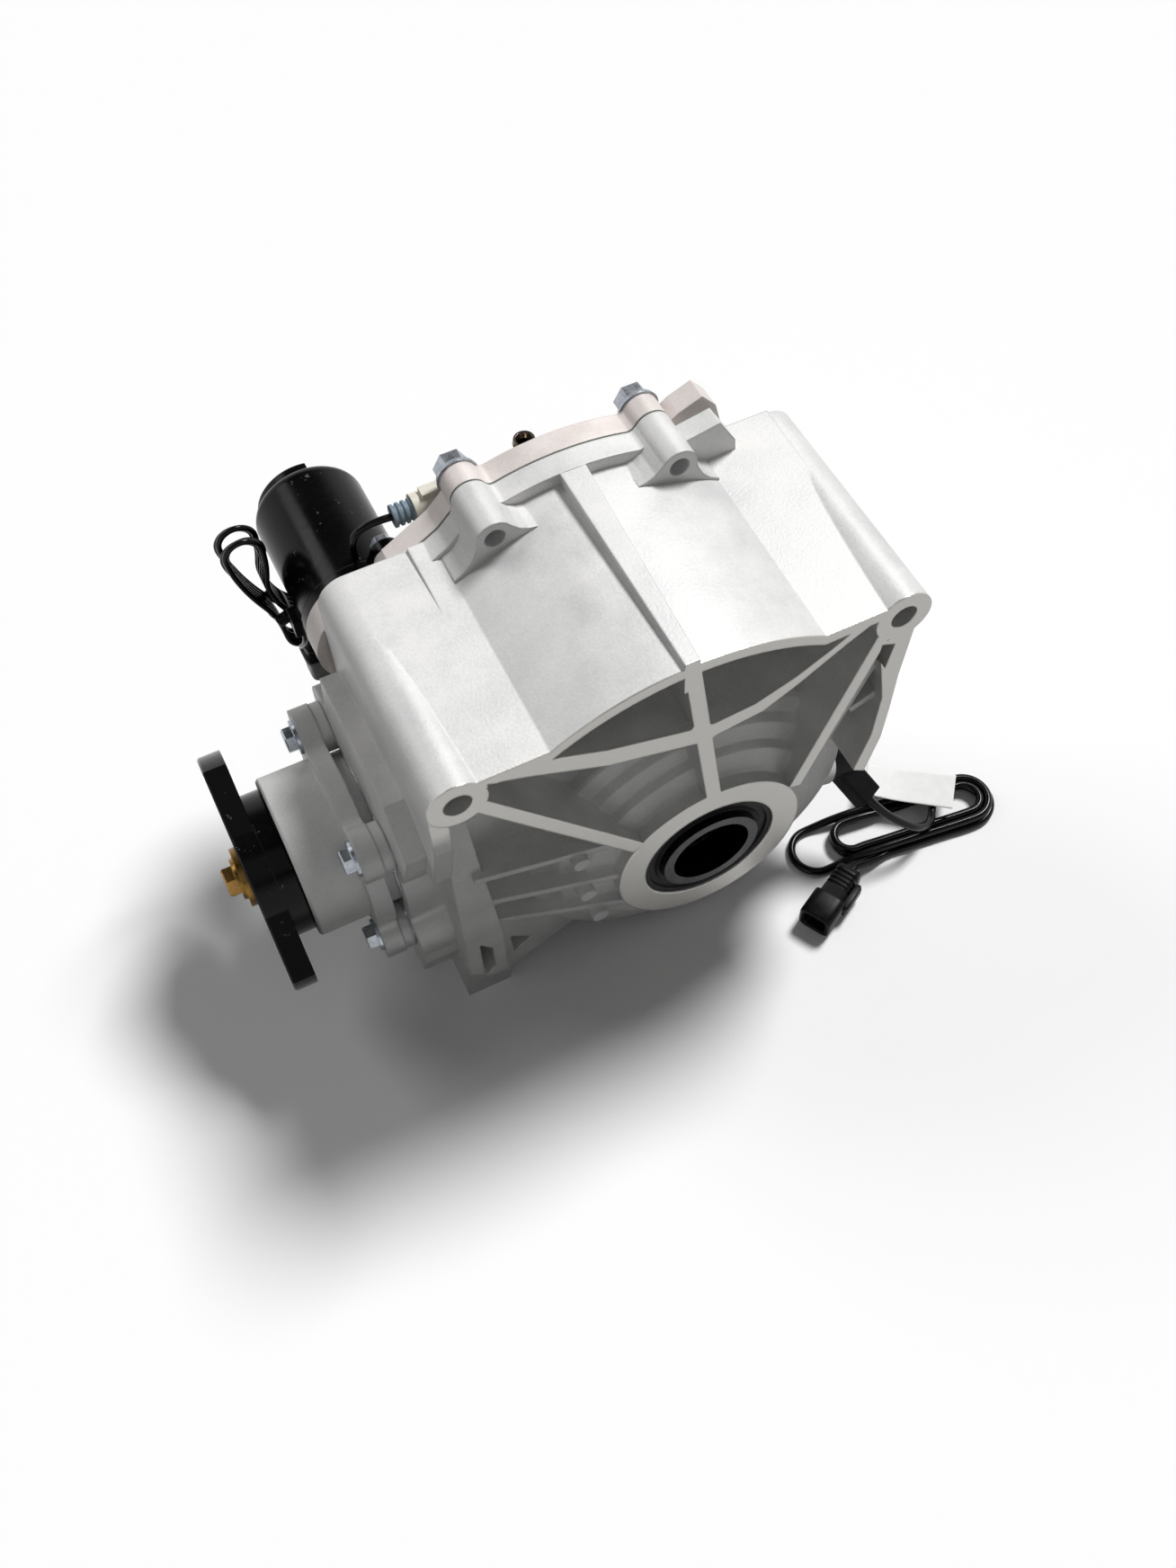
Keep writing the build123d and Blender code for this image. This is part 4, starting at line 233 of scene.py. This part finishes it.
# From the lock switch down into the cover
SWITCH_LEAD_WIDE = 3.0
SWITCH_LEAD = [(-75.4, 123.5, 121.0), (-85.5, 123.8, 122.0), (-93.5, 125.0, 115.5), (-92.0, 126.5, 102.9)]
switch_lead = lead_curve("switch_lead_bent", SWITCH_LEAD, SWITCH_LEAD_WIDE)
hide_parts("switch_lead")


# Shapes
def new_piece(name, points, faces, body):
    """A smooth-shaded piece of the assembly from its corner points in millimetres and its faces."""
    mesh = bpy.data.meshes.new(name)
    mesh.from_pydata((np.asarray(points, float) * MM).tolist(), [], faces)
    mesh.update()
    mesh.polygons.foreach_set("use_smooth", np.full(len(mesh.polygons), True))
    made = bpy.data.objects.new(name, mesh)
    bpy.context.scene.collection.objects.link(made)
    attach(made, body)
    return made


def grid_faces(rows, columns, closed=True):
    """Quads between the neighbours of a grid of points; closed joins the last column to the first."""
    gaps = columns if closed else columns - 1
    row, column = np.meshgrid(np.arange(rows - 1), np.arange(gaps), indexing="ij")
    after = (column + 1) % columns
    quads = np.stack([row * columns + column, row * columns + after,
                      (row + 1) * columns + after, (row + 1) * columns + column], axis=-1)
    return quads.reshape(-1, 4).tolist()


SECTION_COLUMNS = 48


def carried_profile(name, centre, along, across, stations, body, power):
    """A rounded box carried along an axis. At each station (distance, half width, half height) the section
    is (|u| / width)^p + (|v| / height)^p = 1, with its ends closed by a flat cap."""
    along = Vector(along).normalized()
    across = Vector(across)
    across = (across - along * across.dot(along)).normalized()
    third = along.cross(across)
    turn = np.linspace(0, 2 * np.pi, SECTION_COLUMNS, endpoint=False)
    u = np.sign(np.cos(turn)) * np.abs(np.cos(turn)) ** (2 / power)
    v = np.sign(np.sin(turn)) * np.abs(np.sin(turn)) ** (2 / power)
    distance, wide, high = np.array(stations, float).T
    points = (np.array(centre)[None, None] + distance[:, None, None] * np.array(along)
              + (wide[:, None] * u)[..., None] * np.array(across)
              + (high[:, None] * v)[..., None] * np.array(third)).reshape(-1, 3)
    faces = grid_faces(len(distance), SECTION_COLUMNS)
    last = (len(distance) - 1) * SECTION_COLUMNS
    faces += [list(range(SECTION_COLUMNS))[::-1], list(range(last, last + SECTION_COLUMNS))]
    return new_piece(name, points, faces, body)


def bevel(piece, width):
    """Round a piece's edges that turn by more than 40 degrees."""
    rounding = piece.modifiers.new("edge", "BEVEL")
    rounding.width = width * MM
    rounding.segments = 2
    rounding.limit_method = "ANGLE"
    rounding.angle_limit = math.radians(40)
    return piece


# Sensor connector: a body with grip grooves, a collar, and the open socket at its far end. Each station is
# a distance, a half width and a half height. At its last ones the section turns back inwards, for the
# socket
PLUG_GROOVES = (4.0, 6.4, 8.8, 11.2)
LATCH_START = (77.6, -11.7, -72.6)
plug_stations = [(-1.5, 2.6, 2.6), (0.0, 4.6, 4.6), (0.6, 5.9, 6.2), (3.0, 6.0, 6.5)]
for start in PLUG_GROOVES:
    plug_stations += [(start, 6.0, 6.5), (start + 0.4, 5.5, 6.0), (start + 1.2, 5.5, 6.0),
                      (start + 1.6, 6.0, 6.5)]
plug_stations += [(17.4, 6.0, 6.5), (18.0, 7.9, 6.9), (19.0, 8.0, 7.0), (31.0, 8.0, 7.0), (31.9, 7.6, 6.6),
                  (31.9, 5.6, 4.9), (31.0, 5.3, 4.6), (23.0, 5.2, 4.5)]
sensor_connector = carried_profile("sensor_connector", PLUG_START, PLUG_ALONG, (0, 1, 0), plug_stations,
                                   "axle_case", power=4.5)
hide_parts("sensor_plug")
latch_stations = [(4.6, 0.9, 2.6), (6.0, 1.9, 3.1), (18.6, 2.1, 3.1), (19.8, 1.2, 2.8)]
latch = carried_profile("sensor_connector_latch", LATCH_START, PLUG_ALONG, (0, 1, 0), latch_stations,
                        "axle_case", power=6)
# Motor connector: a groove, a collar round its middle, and its socket below
motor_stations = [(0.0, 3.2, 3.2), (0.6, 5.6, 6.0), (6.0, 6.0, 6.5), (6.4, 5.5, 6.0), (7.6, 5.5, 6.0),
                  (8.0, 6.0, 6.5), (8.6, 6.9, 7.4), (11.4, 7.0, 7.5), (12.0, 6.0, 6.5), (23.4, 6.0, 6.5),
                  (24.0, 5.7, 6.2), (24.0, 4.4, 4.9), (16.0, 4.3, 4.8)]
motor_connector = carried_profile("motor_connector", MOTOR_PLUG_START, (0, 0, -1), (1, 0, 0), motor_stations,
                                  "axle_case", power=4.5)
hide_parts("motor_lead_plug")


# The corners of the tie's rectangular section: half the oval's width and length there, and the way down the
# hank
TIE_SECTION = [(3.7, 7.0, -1.9), (4.6, 7.8, -1.9), (4.6, 7.8, 1.9), (3.7, 7.0, 1.9)]
TIE_MIDDLE_Y = 150.2
TIE_COLUMNS = 40
TIE_SQUARENESS = 0.7


def tie_band():
    """A flat strap round the hank, square across its lower run: an oval ring, whose cosine and sine are
    raised to the power 0.7 so that it is squarer than an ellipse."""
    turn = np.linspace(0, 2 * np.pi, TIE_COLUMNS, endpoint=False)
    u = np.sign(np.cos(turn)) * np.abs(np.cos(turn)) ** TIE_SQUARENESS
    v = np.sign(np.sin(turn)) * np.abs(np.sin(turn)) ** TIE_SQUARENESS
    rings = [np.column_stack([HANK_TIE[0] + a * u * LOW_OUT[0] + s * LOW_DOWN[0], TIE_MIDDLE_Y + b * v,
                              HANK_TIE[1] + a * u * LOW_OUT[1] + s * LOW_DOWN[1]]) for a, b, s in TIE_SECTION]
    points = np.array(rings).reshape(-1, 3)
    faces = grid_faces(len(TIE_SECTION), TIE_COLUMNS)
    columns = np.arange(TIE_COLUMNS)
    after = (columns + 1) % TIE_COLUMNS
    last = (len(TIE_SECTION) - 1) * TIE_COLUMNS
    faces += np.stack([last + columns, last + after, after, columns], axis=-1).tolist()
    return new_piece("hank_tie", points, faces, "axle_case")


hank_tie = bevel(tie_band(), 0.2)
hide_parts("motor_lead_tie")
# The tie's lock is a small block half its own length above the tie's middle, on the side of the hank that
# faces -Y
LOCK_Y = 141.6
lock_start = HANK_TIE - LOW_DOWN * 2.6
lock_stations = [(0.0, 2.4, 1.2), (0.4, 2.7, 1.5), (4.8, 2.7, 1.5), (5.2, 2.4, 1.2)]
lock = carried_profile("hank_tie_lock", (lock_start[0], LOCK_Y, lock_start[1]), (LOW_DOWN[0], 0, LOW_DOWN[1]),
                       (LOW_OUT[0], 0, LOW_OUT[1]), lock_stations, "axle_case", power=8)
tie_lock = bevel(lock, 0.1)

# The tag's middle, half its length and half its width, its turn seen from above, and its thickness
TAG_MIDDLE = (121, 20, -67.3)
TAG_HALF_LONG = 21
TAG_HALF_WIDE = 9
TAG_TURN = math.radians(-38)
TAG_THICK = 0.25
TAG_ROWS = 43
TAG_COLUMNS = 19


def paper_tag():
    """A paper label that curls. Its height is 1.4 mm times the square of the share along it, plus a wave of
    0.5 mm along it, plus a twist of 0.8 mm times both shares, so that two corners rise and two fall."""
    u, v = np.meshgrid(np.linspace(-TAG_HALF_LONG, TAG_HALF_LONG, TAG_ROWS),
                       np.linspace(-TAG_HALF_WIDE, TAG_HALF_WIDE, TAG_COLUMNS), indexing="ij")
    along = u / TAG_HALF_LONG
    lift = 1.4 * along ** 2 + 0.5 * np.sin(3 * along) + 0.8 * along * (v / TAG_HALF_WIDE)
    cos, sin = math.cos(TAG_TURN), math.sin(TAG_TURN)
    points = np.stack([TAG_MIDDLE[0] + u * cos - v * sin, TAG_MIDDLE[1] + u * sin + v * cos,
                       TAG_MIDDLE[2] + lift], axis=-1).reshape(-1, 3)
    faces = grid_faces(TAG_ROWS, TAG_COLUMNS, closed=False)
    made = new_piece("sensor_paper_tag", points, faces, "axle_case")
    thick = made.modifiers.new("paper", "SOLIDIFY")
    thick.thickness = TAG_THICK * MM
    return made


paper = paper_tag()
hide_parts("sensor_tag")


# Materials
def linear(tone):
    """An sRGB hex colour as the linear numbers that a shader takes."""
    share = np.array([int(tone[i:i + 2], 16) for i in (0, 2, 4)]) / 255
    value = np.where(share <= 0.04045, share / 12.92, ((share + 0.055) / 1.055) ** 2.4)
    return (*value.tolist(), 1.0)


def add(tree, kind, values=(), links=(), **fields):
    """Add one shader node, set its fields and sockets, and link it to earlier ones."""
    made = tree.nodes.new(kind)
    for field, value in fields.items():
        setattr(made, field, value)
    for socket, value in dict(values).items():
        made.inputs[socket].default_value = value
    for socket, (source, output) in dict(links).items():
        tree.links.new(source.outputs[output], made.inputs[socket])
    return made


# The milled faces at the near plane end between these two y in mm, and have this roughness and share of
# metal
MILLED_TO = 0.5
MILLED_PAST = 0.8
MILLED_ROUGH = 0.3
MILLED_METAL = 0.7
# Chips in enamel are the peaks of a noise of this scale per metre, edged by this narrow band
CHIP_SCALE = 260.0
CHIP_BAND = (0.66, 0.68)
# Tool marks are noise drawn out along the piece's own X to this scale per metre
MARK_SCALE = 60.0


def surface(name, tones, rough, metallic=0.0, grain=1.0, depth=0.1, blotch=25.0, scratch=0.0, edge=0.0,
            worn=None, milled=None, **shader):
    """A material whose colour drifts between two tones in blotches of one size in mm, whose roughness
    drifts with it, and whose bump has grain of another size and depth in mm. edge rounds its corners by
    that radius in mm, scratch is how close its tool marks lie, worn is the tone that shows in small chips,
    and milled is the tone of the faces cut at the near plane."""
    made = bpy.data.materials.new(name)
    made.use_nodes = True
    tree = made.node_tree
    tree.nodes.clear()
    out = add(tree, "ShaderNodeOutputMaterial")
    place = add(tree, "ShaderNodeTexCoord")
    drift = add(tree, "ShaderNodeTexNoise", {"Scale": 1000 / blotch, "Detail": 4.0, "Roughness": 0.55},
                {"Vector": (place, "Object")})
    fine = add(tree, "ShaderNodeTexNoise", {"Scale": 1000 / grain, "Detail": 3.0, "Roughness": 0.6},
               {"Vector": (place, "Object")})
    both = add(tree, "ShaderNodeMix", {"Factor": 0.35}, {"A": (drift, "Fac"), "B": (fine, "Fac")},
               data_type="FLOAT")
    spread = add(tree, "ShaderNodeMapRange", {"From Min": 0.36, "From Max": 0.64},
                 {"Value": (both, "Result")})
    colour = add(tree, "ShaderNodeMix", {6: linear(tones[0]), 7: linear(tones[1])},
                 {"Factor": (spread, "Result")}, data_type="RGBA")
    dull = add(tree, "ShaderNodeMapRange", {"To Min": rough[0], "To Max": rough[1]},
               {"Value": (spread, "Result")})
    height = (fine, "Fac")
    if scratch:
        across = 2500.0 / scratch
        stretch = add(tree, "ShaderNodeMapping", {"Scale": (MARK_SCALE, across, across)},
                      {"Vector": (place, "Object")})
        lines = add(tree, "ShaderNodeTexNoise", {"Scale": 1.0, "Detail": 2.0},
                    {"Vector": (stretch, "Vector")})
        marked = add(tree, "ShaderNodeMix", {"Factor": 0.6}, {"A": (fine, "Fac"), "B": (lines, "Fac")},
                     data_type="FLOAT")
        height = (marked, "Result")
    bump = add(tree, "ShaderNodeBump", {"Strength": 1.0, "Distance": depth * MM}, {"Height": height})
    if edge:
        corner = add(tree, "ShaderNodeBevel", {"Radius": edge * MM}, samples=6)
        tree.links.new(corner.outputs["Normal"], bump.inputs["Normal"])
    body = add(tree, "ShaderNodeBsdfPrincipled", {"Metallic": metallic, **shader},
               {"Base Color": (colour, 2), "Roughness": (dull, "Result"), "Normal": (bump, "Normal")})
    if worn:
        spots = add(tree, "ShaderNodeTexNoise", {"Scale": CHIP_SCALE, "Detail": 5.0, "Roughness": 0.7},
                    {"Vector": (place, "Object")})
        chip = add(tree, "ShaderNodeMapRange", {"From Min": CHIP_BAND[0], "From Max": CHIP_BAND[1]},
                   {"Value": (spots, "Fac")})
        shown = add(tree, "ShaderNodeMix", {7: linear(worn)}, {"Factor": (chip, "Result"), 6: (colour, 2)},
                    data_type="RGBA")
        tree.links.new(shown.outputs[2], body.inputs["Base Color"])
    if milled:
        axes = add(tree, "ShaderNodeSeparateXYZ", {}, {"Vector": (place, "Object")})
        near = add(tree, "ShaderNodeMapRange", {"From Min": MILLED_PAST * MM, "From Max": MILLED_TO * MM},
                   {"Value": (axes, "Y")})
        cut = add(tree, "ShaderNodeMix", {7: linear(milled)}, {"Factor": (near, "Result"), 6: (colour, 2)},
                  data_type="RGBA")
        tree.links.new(cut.outputs[2], body.inputs["Base Color"])
        smooth = add(tree, "ShaderNodeMix", {"B": MILLED_ROUGH},
                     {"Factor": (near, "Result"), "A": (dull, "Result")}, data_type="FLOAT")
        tree.links.new(smooth.outputs["Result"], body.inputs["Roughness"])
        bare = add(tree, "ShaderNodeMix", {"A": metallic, "B": MILLED_METAL}, {"Factor": (near, "Result")},
                   data_type="FLOAT")
        tree.links.new(bare.outputs["Result"], body.inputs["Metallic"])
    tree.links.new(body.outputs["BSDF"], out.inputs["Surface"])
    return made


# Die-cast aluminium, shot blasted: pale, with a fine grain and soft blotches. The blast grain is about 0.3
# mm, too fine to show, so it is drawn at 1.1 mm
cast_aluminium = surface("die_cast_aluminium", ("CECFCE", "E4E3E1"), (0.42, 0.58), 0.15, grain=1.1,
                         depth=0.09, blotch=22.0, edge=1.2, milled="C4C2BD",
                         **{"Specular IOR Level": 0.35})
# The cover's casting, a pinker grey
cover_casting = surface("cover_die_casting", ("D6CDC9", "E8E0DC"), (0.40, 0.54), 0.15, grain=1.0,
                        depth=0.07, blotch=18.0, edge=0.8, **{"Specular IOR Level": 0.35})
# Turned steel with a film of oil: dark, with tool marks
oiled_steel = surface("oiled_gear_steel", ("232426", "3C3D3F"), (0.22, 0.34), 1.0, grain=0.6, depth=0.015,
                      blotch=8.0, scratch=1.0, edge=0.3)
# Ground bearing steel: almost mirror bright
ground_steel = surface("ground_bearing_steel", ("A9ABAE", "BDBFC2"), (0.12, 0.2), 1.0, grain=0.5,
                       depth=0.008, blotch=6.0, edge=0.3)
# Grey cast iron of the carrier
grey_iron = surface("grey_cast_iron", ("4A4B4C", "626364"), (0.45, 0.6), 0.9, grain=0.9, depth=0.06,
                    blotch=10.0, edge=0.6)
# Blue-white zinc plate on the hex bolts
zinc_plate = surface("bright_zinc_plate", ("8E939A", "B4B9C0"), (0.24, 0.36), 1.0, grain=0.8, depth=0.006,
                     blotch=4.0, edge=0.4)
# Yellow passivated zinc on the drive flange's bolt and washer: dull gold
yellow_zinc = surface("yellow_zinc_plate", ("6E5426", "A07C48"), (0.24, 0.38), 1.0, grain=0.8,
                      depth=0.006, blotch=5.0, edge=0.4)
# Gloss black enamel over steel, chipped in small spots. Its coat is thin and takes little of the light
black_enamel = surface("black_enamel", ("030303", "060607"), (0.14, 0.24), 0.0, grain=2.4, depth=0.02,
                       blotch=14.0, edge=0.7, worn="55565A", **{"Specular IOR Level": 0.14})
# Moulded glass-filled nylon of the sensor and connectors
black_nylon = surface("moulded_black_nylon", ("050506", "0B0B0C"), (0.3, 0.42), 0.0, grain=0.7,
                      depth=0.02, blotch=6.0, edge=0.3, **{"Specular IOR Level": 0.12})
# Soft PVC sleeve: black with a wet gloss
black_pvc = surface("black_pvc_sleeve", ("030304", "070708"), (0.16, 0.26), 0.0, grain=1.4, depth=0.02,
                    blotch=9.0, **{"Specular IOR Level": 0.2})
# Nitrile rubber of the seals
seal_rubber = surface("nitrile_rubber", ("050505", "0C0C0C"), (0.5, 0.62), 0.0, grain=0.8, depth=0.03,
                      blotch=7.0, edge=0.4, **{"Specular IOR Level": 0.2})
# Pressed fibre of the joint gasket
gasket_fibre = surface("pressed_fibre", ("55584F", "6E716A"), (0.8, 0.92), 0.0, grain=0.8, depth=0.06,
                       blotch=5.0)
# Soft copper of the plug washers
soft_copper = surface("soft_copper", ("A45F38", "C98358"), (0.3, 0.42), 1.0, grain=0.7, depth=0.02,
                      blotch=4.0)
# Black nickel of the breather
dark_nickel = surface("dark_nickel", ("5B544B", "857B6E"), (0.16, 0.28), 1.0, grain=0.6, depth=0.015,
                      blotch=4.0, edge=0.3)
# Milky nylon of the lock switch: light goes a little way in
milky_nylon = surface("milky_nylon", ("D9D5C6", "E8E4D6"), (0.36, 0.48), 0.0, grain=0.9, depth=0.02,
                      blotch=7.0, edge=0.4,
                      **{"Subsurface Weight": 0.3, "Subsurface Radius": (0.004, 0.003, 0.002)})
# Silicone grommet of the switch, blue-grey
blue_silicone = surface("blue_grey_silicone", ("6C7F8C", "8798A3"), (0.42, 0.54), 0.0, grain=0.8,
                        depth=0.02, blotch=4.0, edge=0.3)
# Uncoated white paper with a fibre tooth
white_paper = surface("uncoated_paper", ("ECECEA", "F4F4F2"), (0.75, 0.88), 0.0, grain=0.7, depth=0.03,
                      blotch=6.0)

FINISHES = {
    cast_aluminium: "main_case pinion_housing",
    cover_casting: "rear_cover",
    ground_steel: "housing_shim near_bearing_outer_ring near_bearing_inner_ring near_bearing_balls "
                  "far_bearing_outer_ring far_bearing_inner_ring far_bearing_balls "
                  "pinion_bearing_outer_ring pinion_bearing_inner_ring pinion_bearing_balls "
                  "cross_pin cross_pin_lock fork_rail case_dowels",
    oiled_steel: "ring_gear pinion_shaft side_gear_near side_gear_far spider_gear_left spider_gear_right "
                 "lock_collar lock_screw motor_rotor shift_fork",
    grey_iron: "diff_carrier diff_end_plate",
    zinc_plate: "case_bolts housing_bolts motor_screws sensor_screw end_plate_screws ring_gear_bolts "
                "oil_plugs",
    yellow_zinc: "drive_flange_bolt drive_flange_washer",
    black_enamel: "drive_flange motor_foot shift_motor",
    black_nylon: "speed_sensor",
    seal_rubber: "axle_seals pinion_seal housing_o_ring",
    gasket_fibre: "case_gasket",
    soft_copper: "plug_washers",
    dark_nickel: "breather_nipple",
    milky_nylon: "lock_switch",
    blue_silicone: "lock_switch_seal",
}


def dress(piece, finish):
    """Give a piece its material in every slot."""
    if not piece.data.materials:
        piece.data.materials.append(finish)
    for place in piece.material_slots:
        place.material = finish


for finish, names in FINISHES.items():
    for name in names.split():
        dress(nodes[name], finish)
for piece in (sensor_lead, motor_lead, switch_lead):
    dress(piece, black_pvc)
for piece in (sensor_connector, latch, motor_connector, hank_tie, tie_lock):
    dress(piece, black_nylon)
dress(paper, white_paper)


# Floor and light
def seen_directly(tree):
    """One where the eye, a mirror or glass looks, and nought where the surface only passes light on."""
    path = add(tree, "ShaderNodeLightPath")
    plain = add(tree, "ShaderNodeMath", {}, {0: (path, "Is Camera Ray"), 1: (path, "Is Glossy Ray")},
                operation="MAXIMUM")
    return add(tree, "ShaderNodeMath", {}, {0: (plain, "Value"), 1: (path, "Is Transmission Ray")},
               operation="MAXIMUM")


FLOOR_HALF = 4000.0
# The floor's tone to the light that it passes on, and to the eye
FLOOR_THROWN = "606060"
FLOOR_SEEN = "FAFAFA"


def make_stage():
    """A pale seamless floor under the part. It is white to look at and throws little light back up."""
    corners = [(x * FLOOR_HALF, y * FLOOR_HALF, FLOOR_Z) for x, y in ((-1, -1), (1, -1), (1, 1), (-1, 1))]
    mesh = bpy.data.meshes.new("studio_floor")
    mesh.from_pydata((np.array(corners) * MM).tolist(), [], [(0, 1, 2, 3)])
    floor = bpy.data.objects.new("studio_floor", mesh)
    bpy.context.scene.collection.objects.link(floor)
    card = bpy.data.materials.new("matt_white_card")
    card.use_nodes = True
    tree = card.node_tree
    tree.nodes.clear()
    seen = seen_directly(tree)
    tone = add(tree, "ShaderNodeMix", {6: linear(FLOOR_THROWN), 7: linear(FLOOR_SEEN)},
               {"Factor": (seen, "Value")}, data_type="RGBA")
    matt = add(tree, "ShaderNodeBsdfDiffuse", {}, {"Color": (tone, 2)})
    add(tree, "ShaderNodeOutputMaterial", {}, {"Surface": (matt, "BSDF")})
    dress(floor, card)


def add_sun(name, towards, strength, spread):
    """A soft distant lamp that shines from the given direction; spread is its width in degrees."""
    data = bpy.data.lights.new(name, "SUN")
    data.energy = strength
    data.angle = math.radians(spread)
    lamp = bpy.data.objects.new(name, data)
    lamp.rotation_mode = "QUATERNION"
    lamp.rotation_quaternion = Vector(towards).to_track_quat("Z", "Y")
    bpy.context.scene.collection.objects.link(lamp)


# Each lamp's name, the direction that it shines from, its strength and its width in degrees
SUNS = [("key_light", (0.50, 0.22, 0.84), 3.05, 16), ("left_light", (-0.50, 0.55, 0.67), 0.5, 26),
        ("near_light", (-0.1, -0.5, 0.85), 0.12, 40)]
# What the air gives to matt surfaces, and what gloss and glass see in the dark ceiling. The height that
# fades to the ceiling is the sine of the angle over the horizon, from 20 degrees to 37
AIR_LIGHT = 0.08
CEILING_LIGHT = 0.12
CEILING_FROM = 0.35
CEILING_FULL = 0.6


def make_air():
    """The eye sees white all round. Gloss and glass see white low down, under a dark ceiling."""
    world = bpy.data.worlds.new("studio_air")
    world.use_nodes = True
    air = world.node_tree
    air.nodes.clear()
    clear = seen_directly(air)
    sight = add(air, "ShaderNodeLightPath")
    place = add(air, "ShaderNodeTexCoord")
    axes = add(air, "ShaderNodeSeparateXYZ", {}, {"Vector": (place, "Generated")})
    ceiling = add(air, "ShaderNodeMapRange", {"From Min": CEILING_FROM, "From Max": CEILING_FULL,
                                              "To Min": 1.0, "To Max": CEILING_LIGHT}, {"Value": (axes, "Z")})
    level = add(air, "ShaderNodeMix", {"A": AIR_LIGHT},
                {"Factor": (clear, "Value"), "B": (ceiling, "Result")}, data_type="FLOAT")
    white = add(air, "ShaderNodeMath", {}, {0: (level, "Result"), 1: (sight, "Is Camera Ray")},
                operation="MAXIMUM")
    sky = add(air, "ShaderNodeBackground", {"Color": (1.0, 1.0, 1.0, 1.0)}, {"Strength": (white, "Value")})
    add(air, "ShaderNodeOutputWorld", {}, {"Surface": (sky, "Background")})
    bpy.context.scene.world = world


make_stage()
for lamp in SUNS:
    add_sun(*lamp)
make_air()
bpy.context.scene.view_settings.view_transform = "Standard"
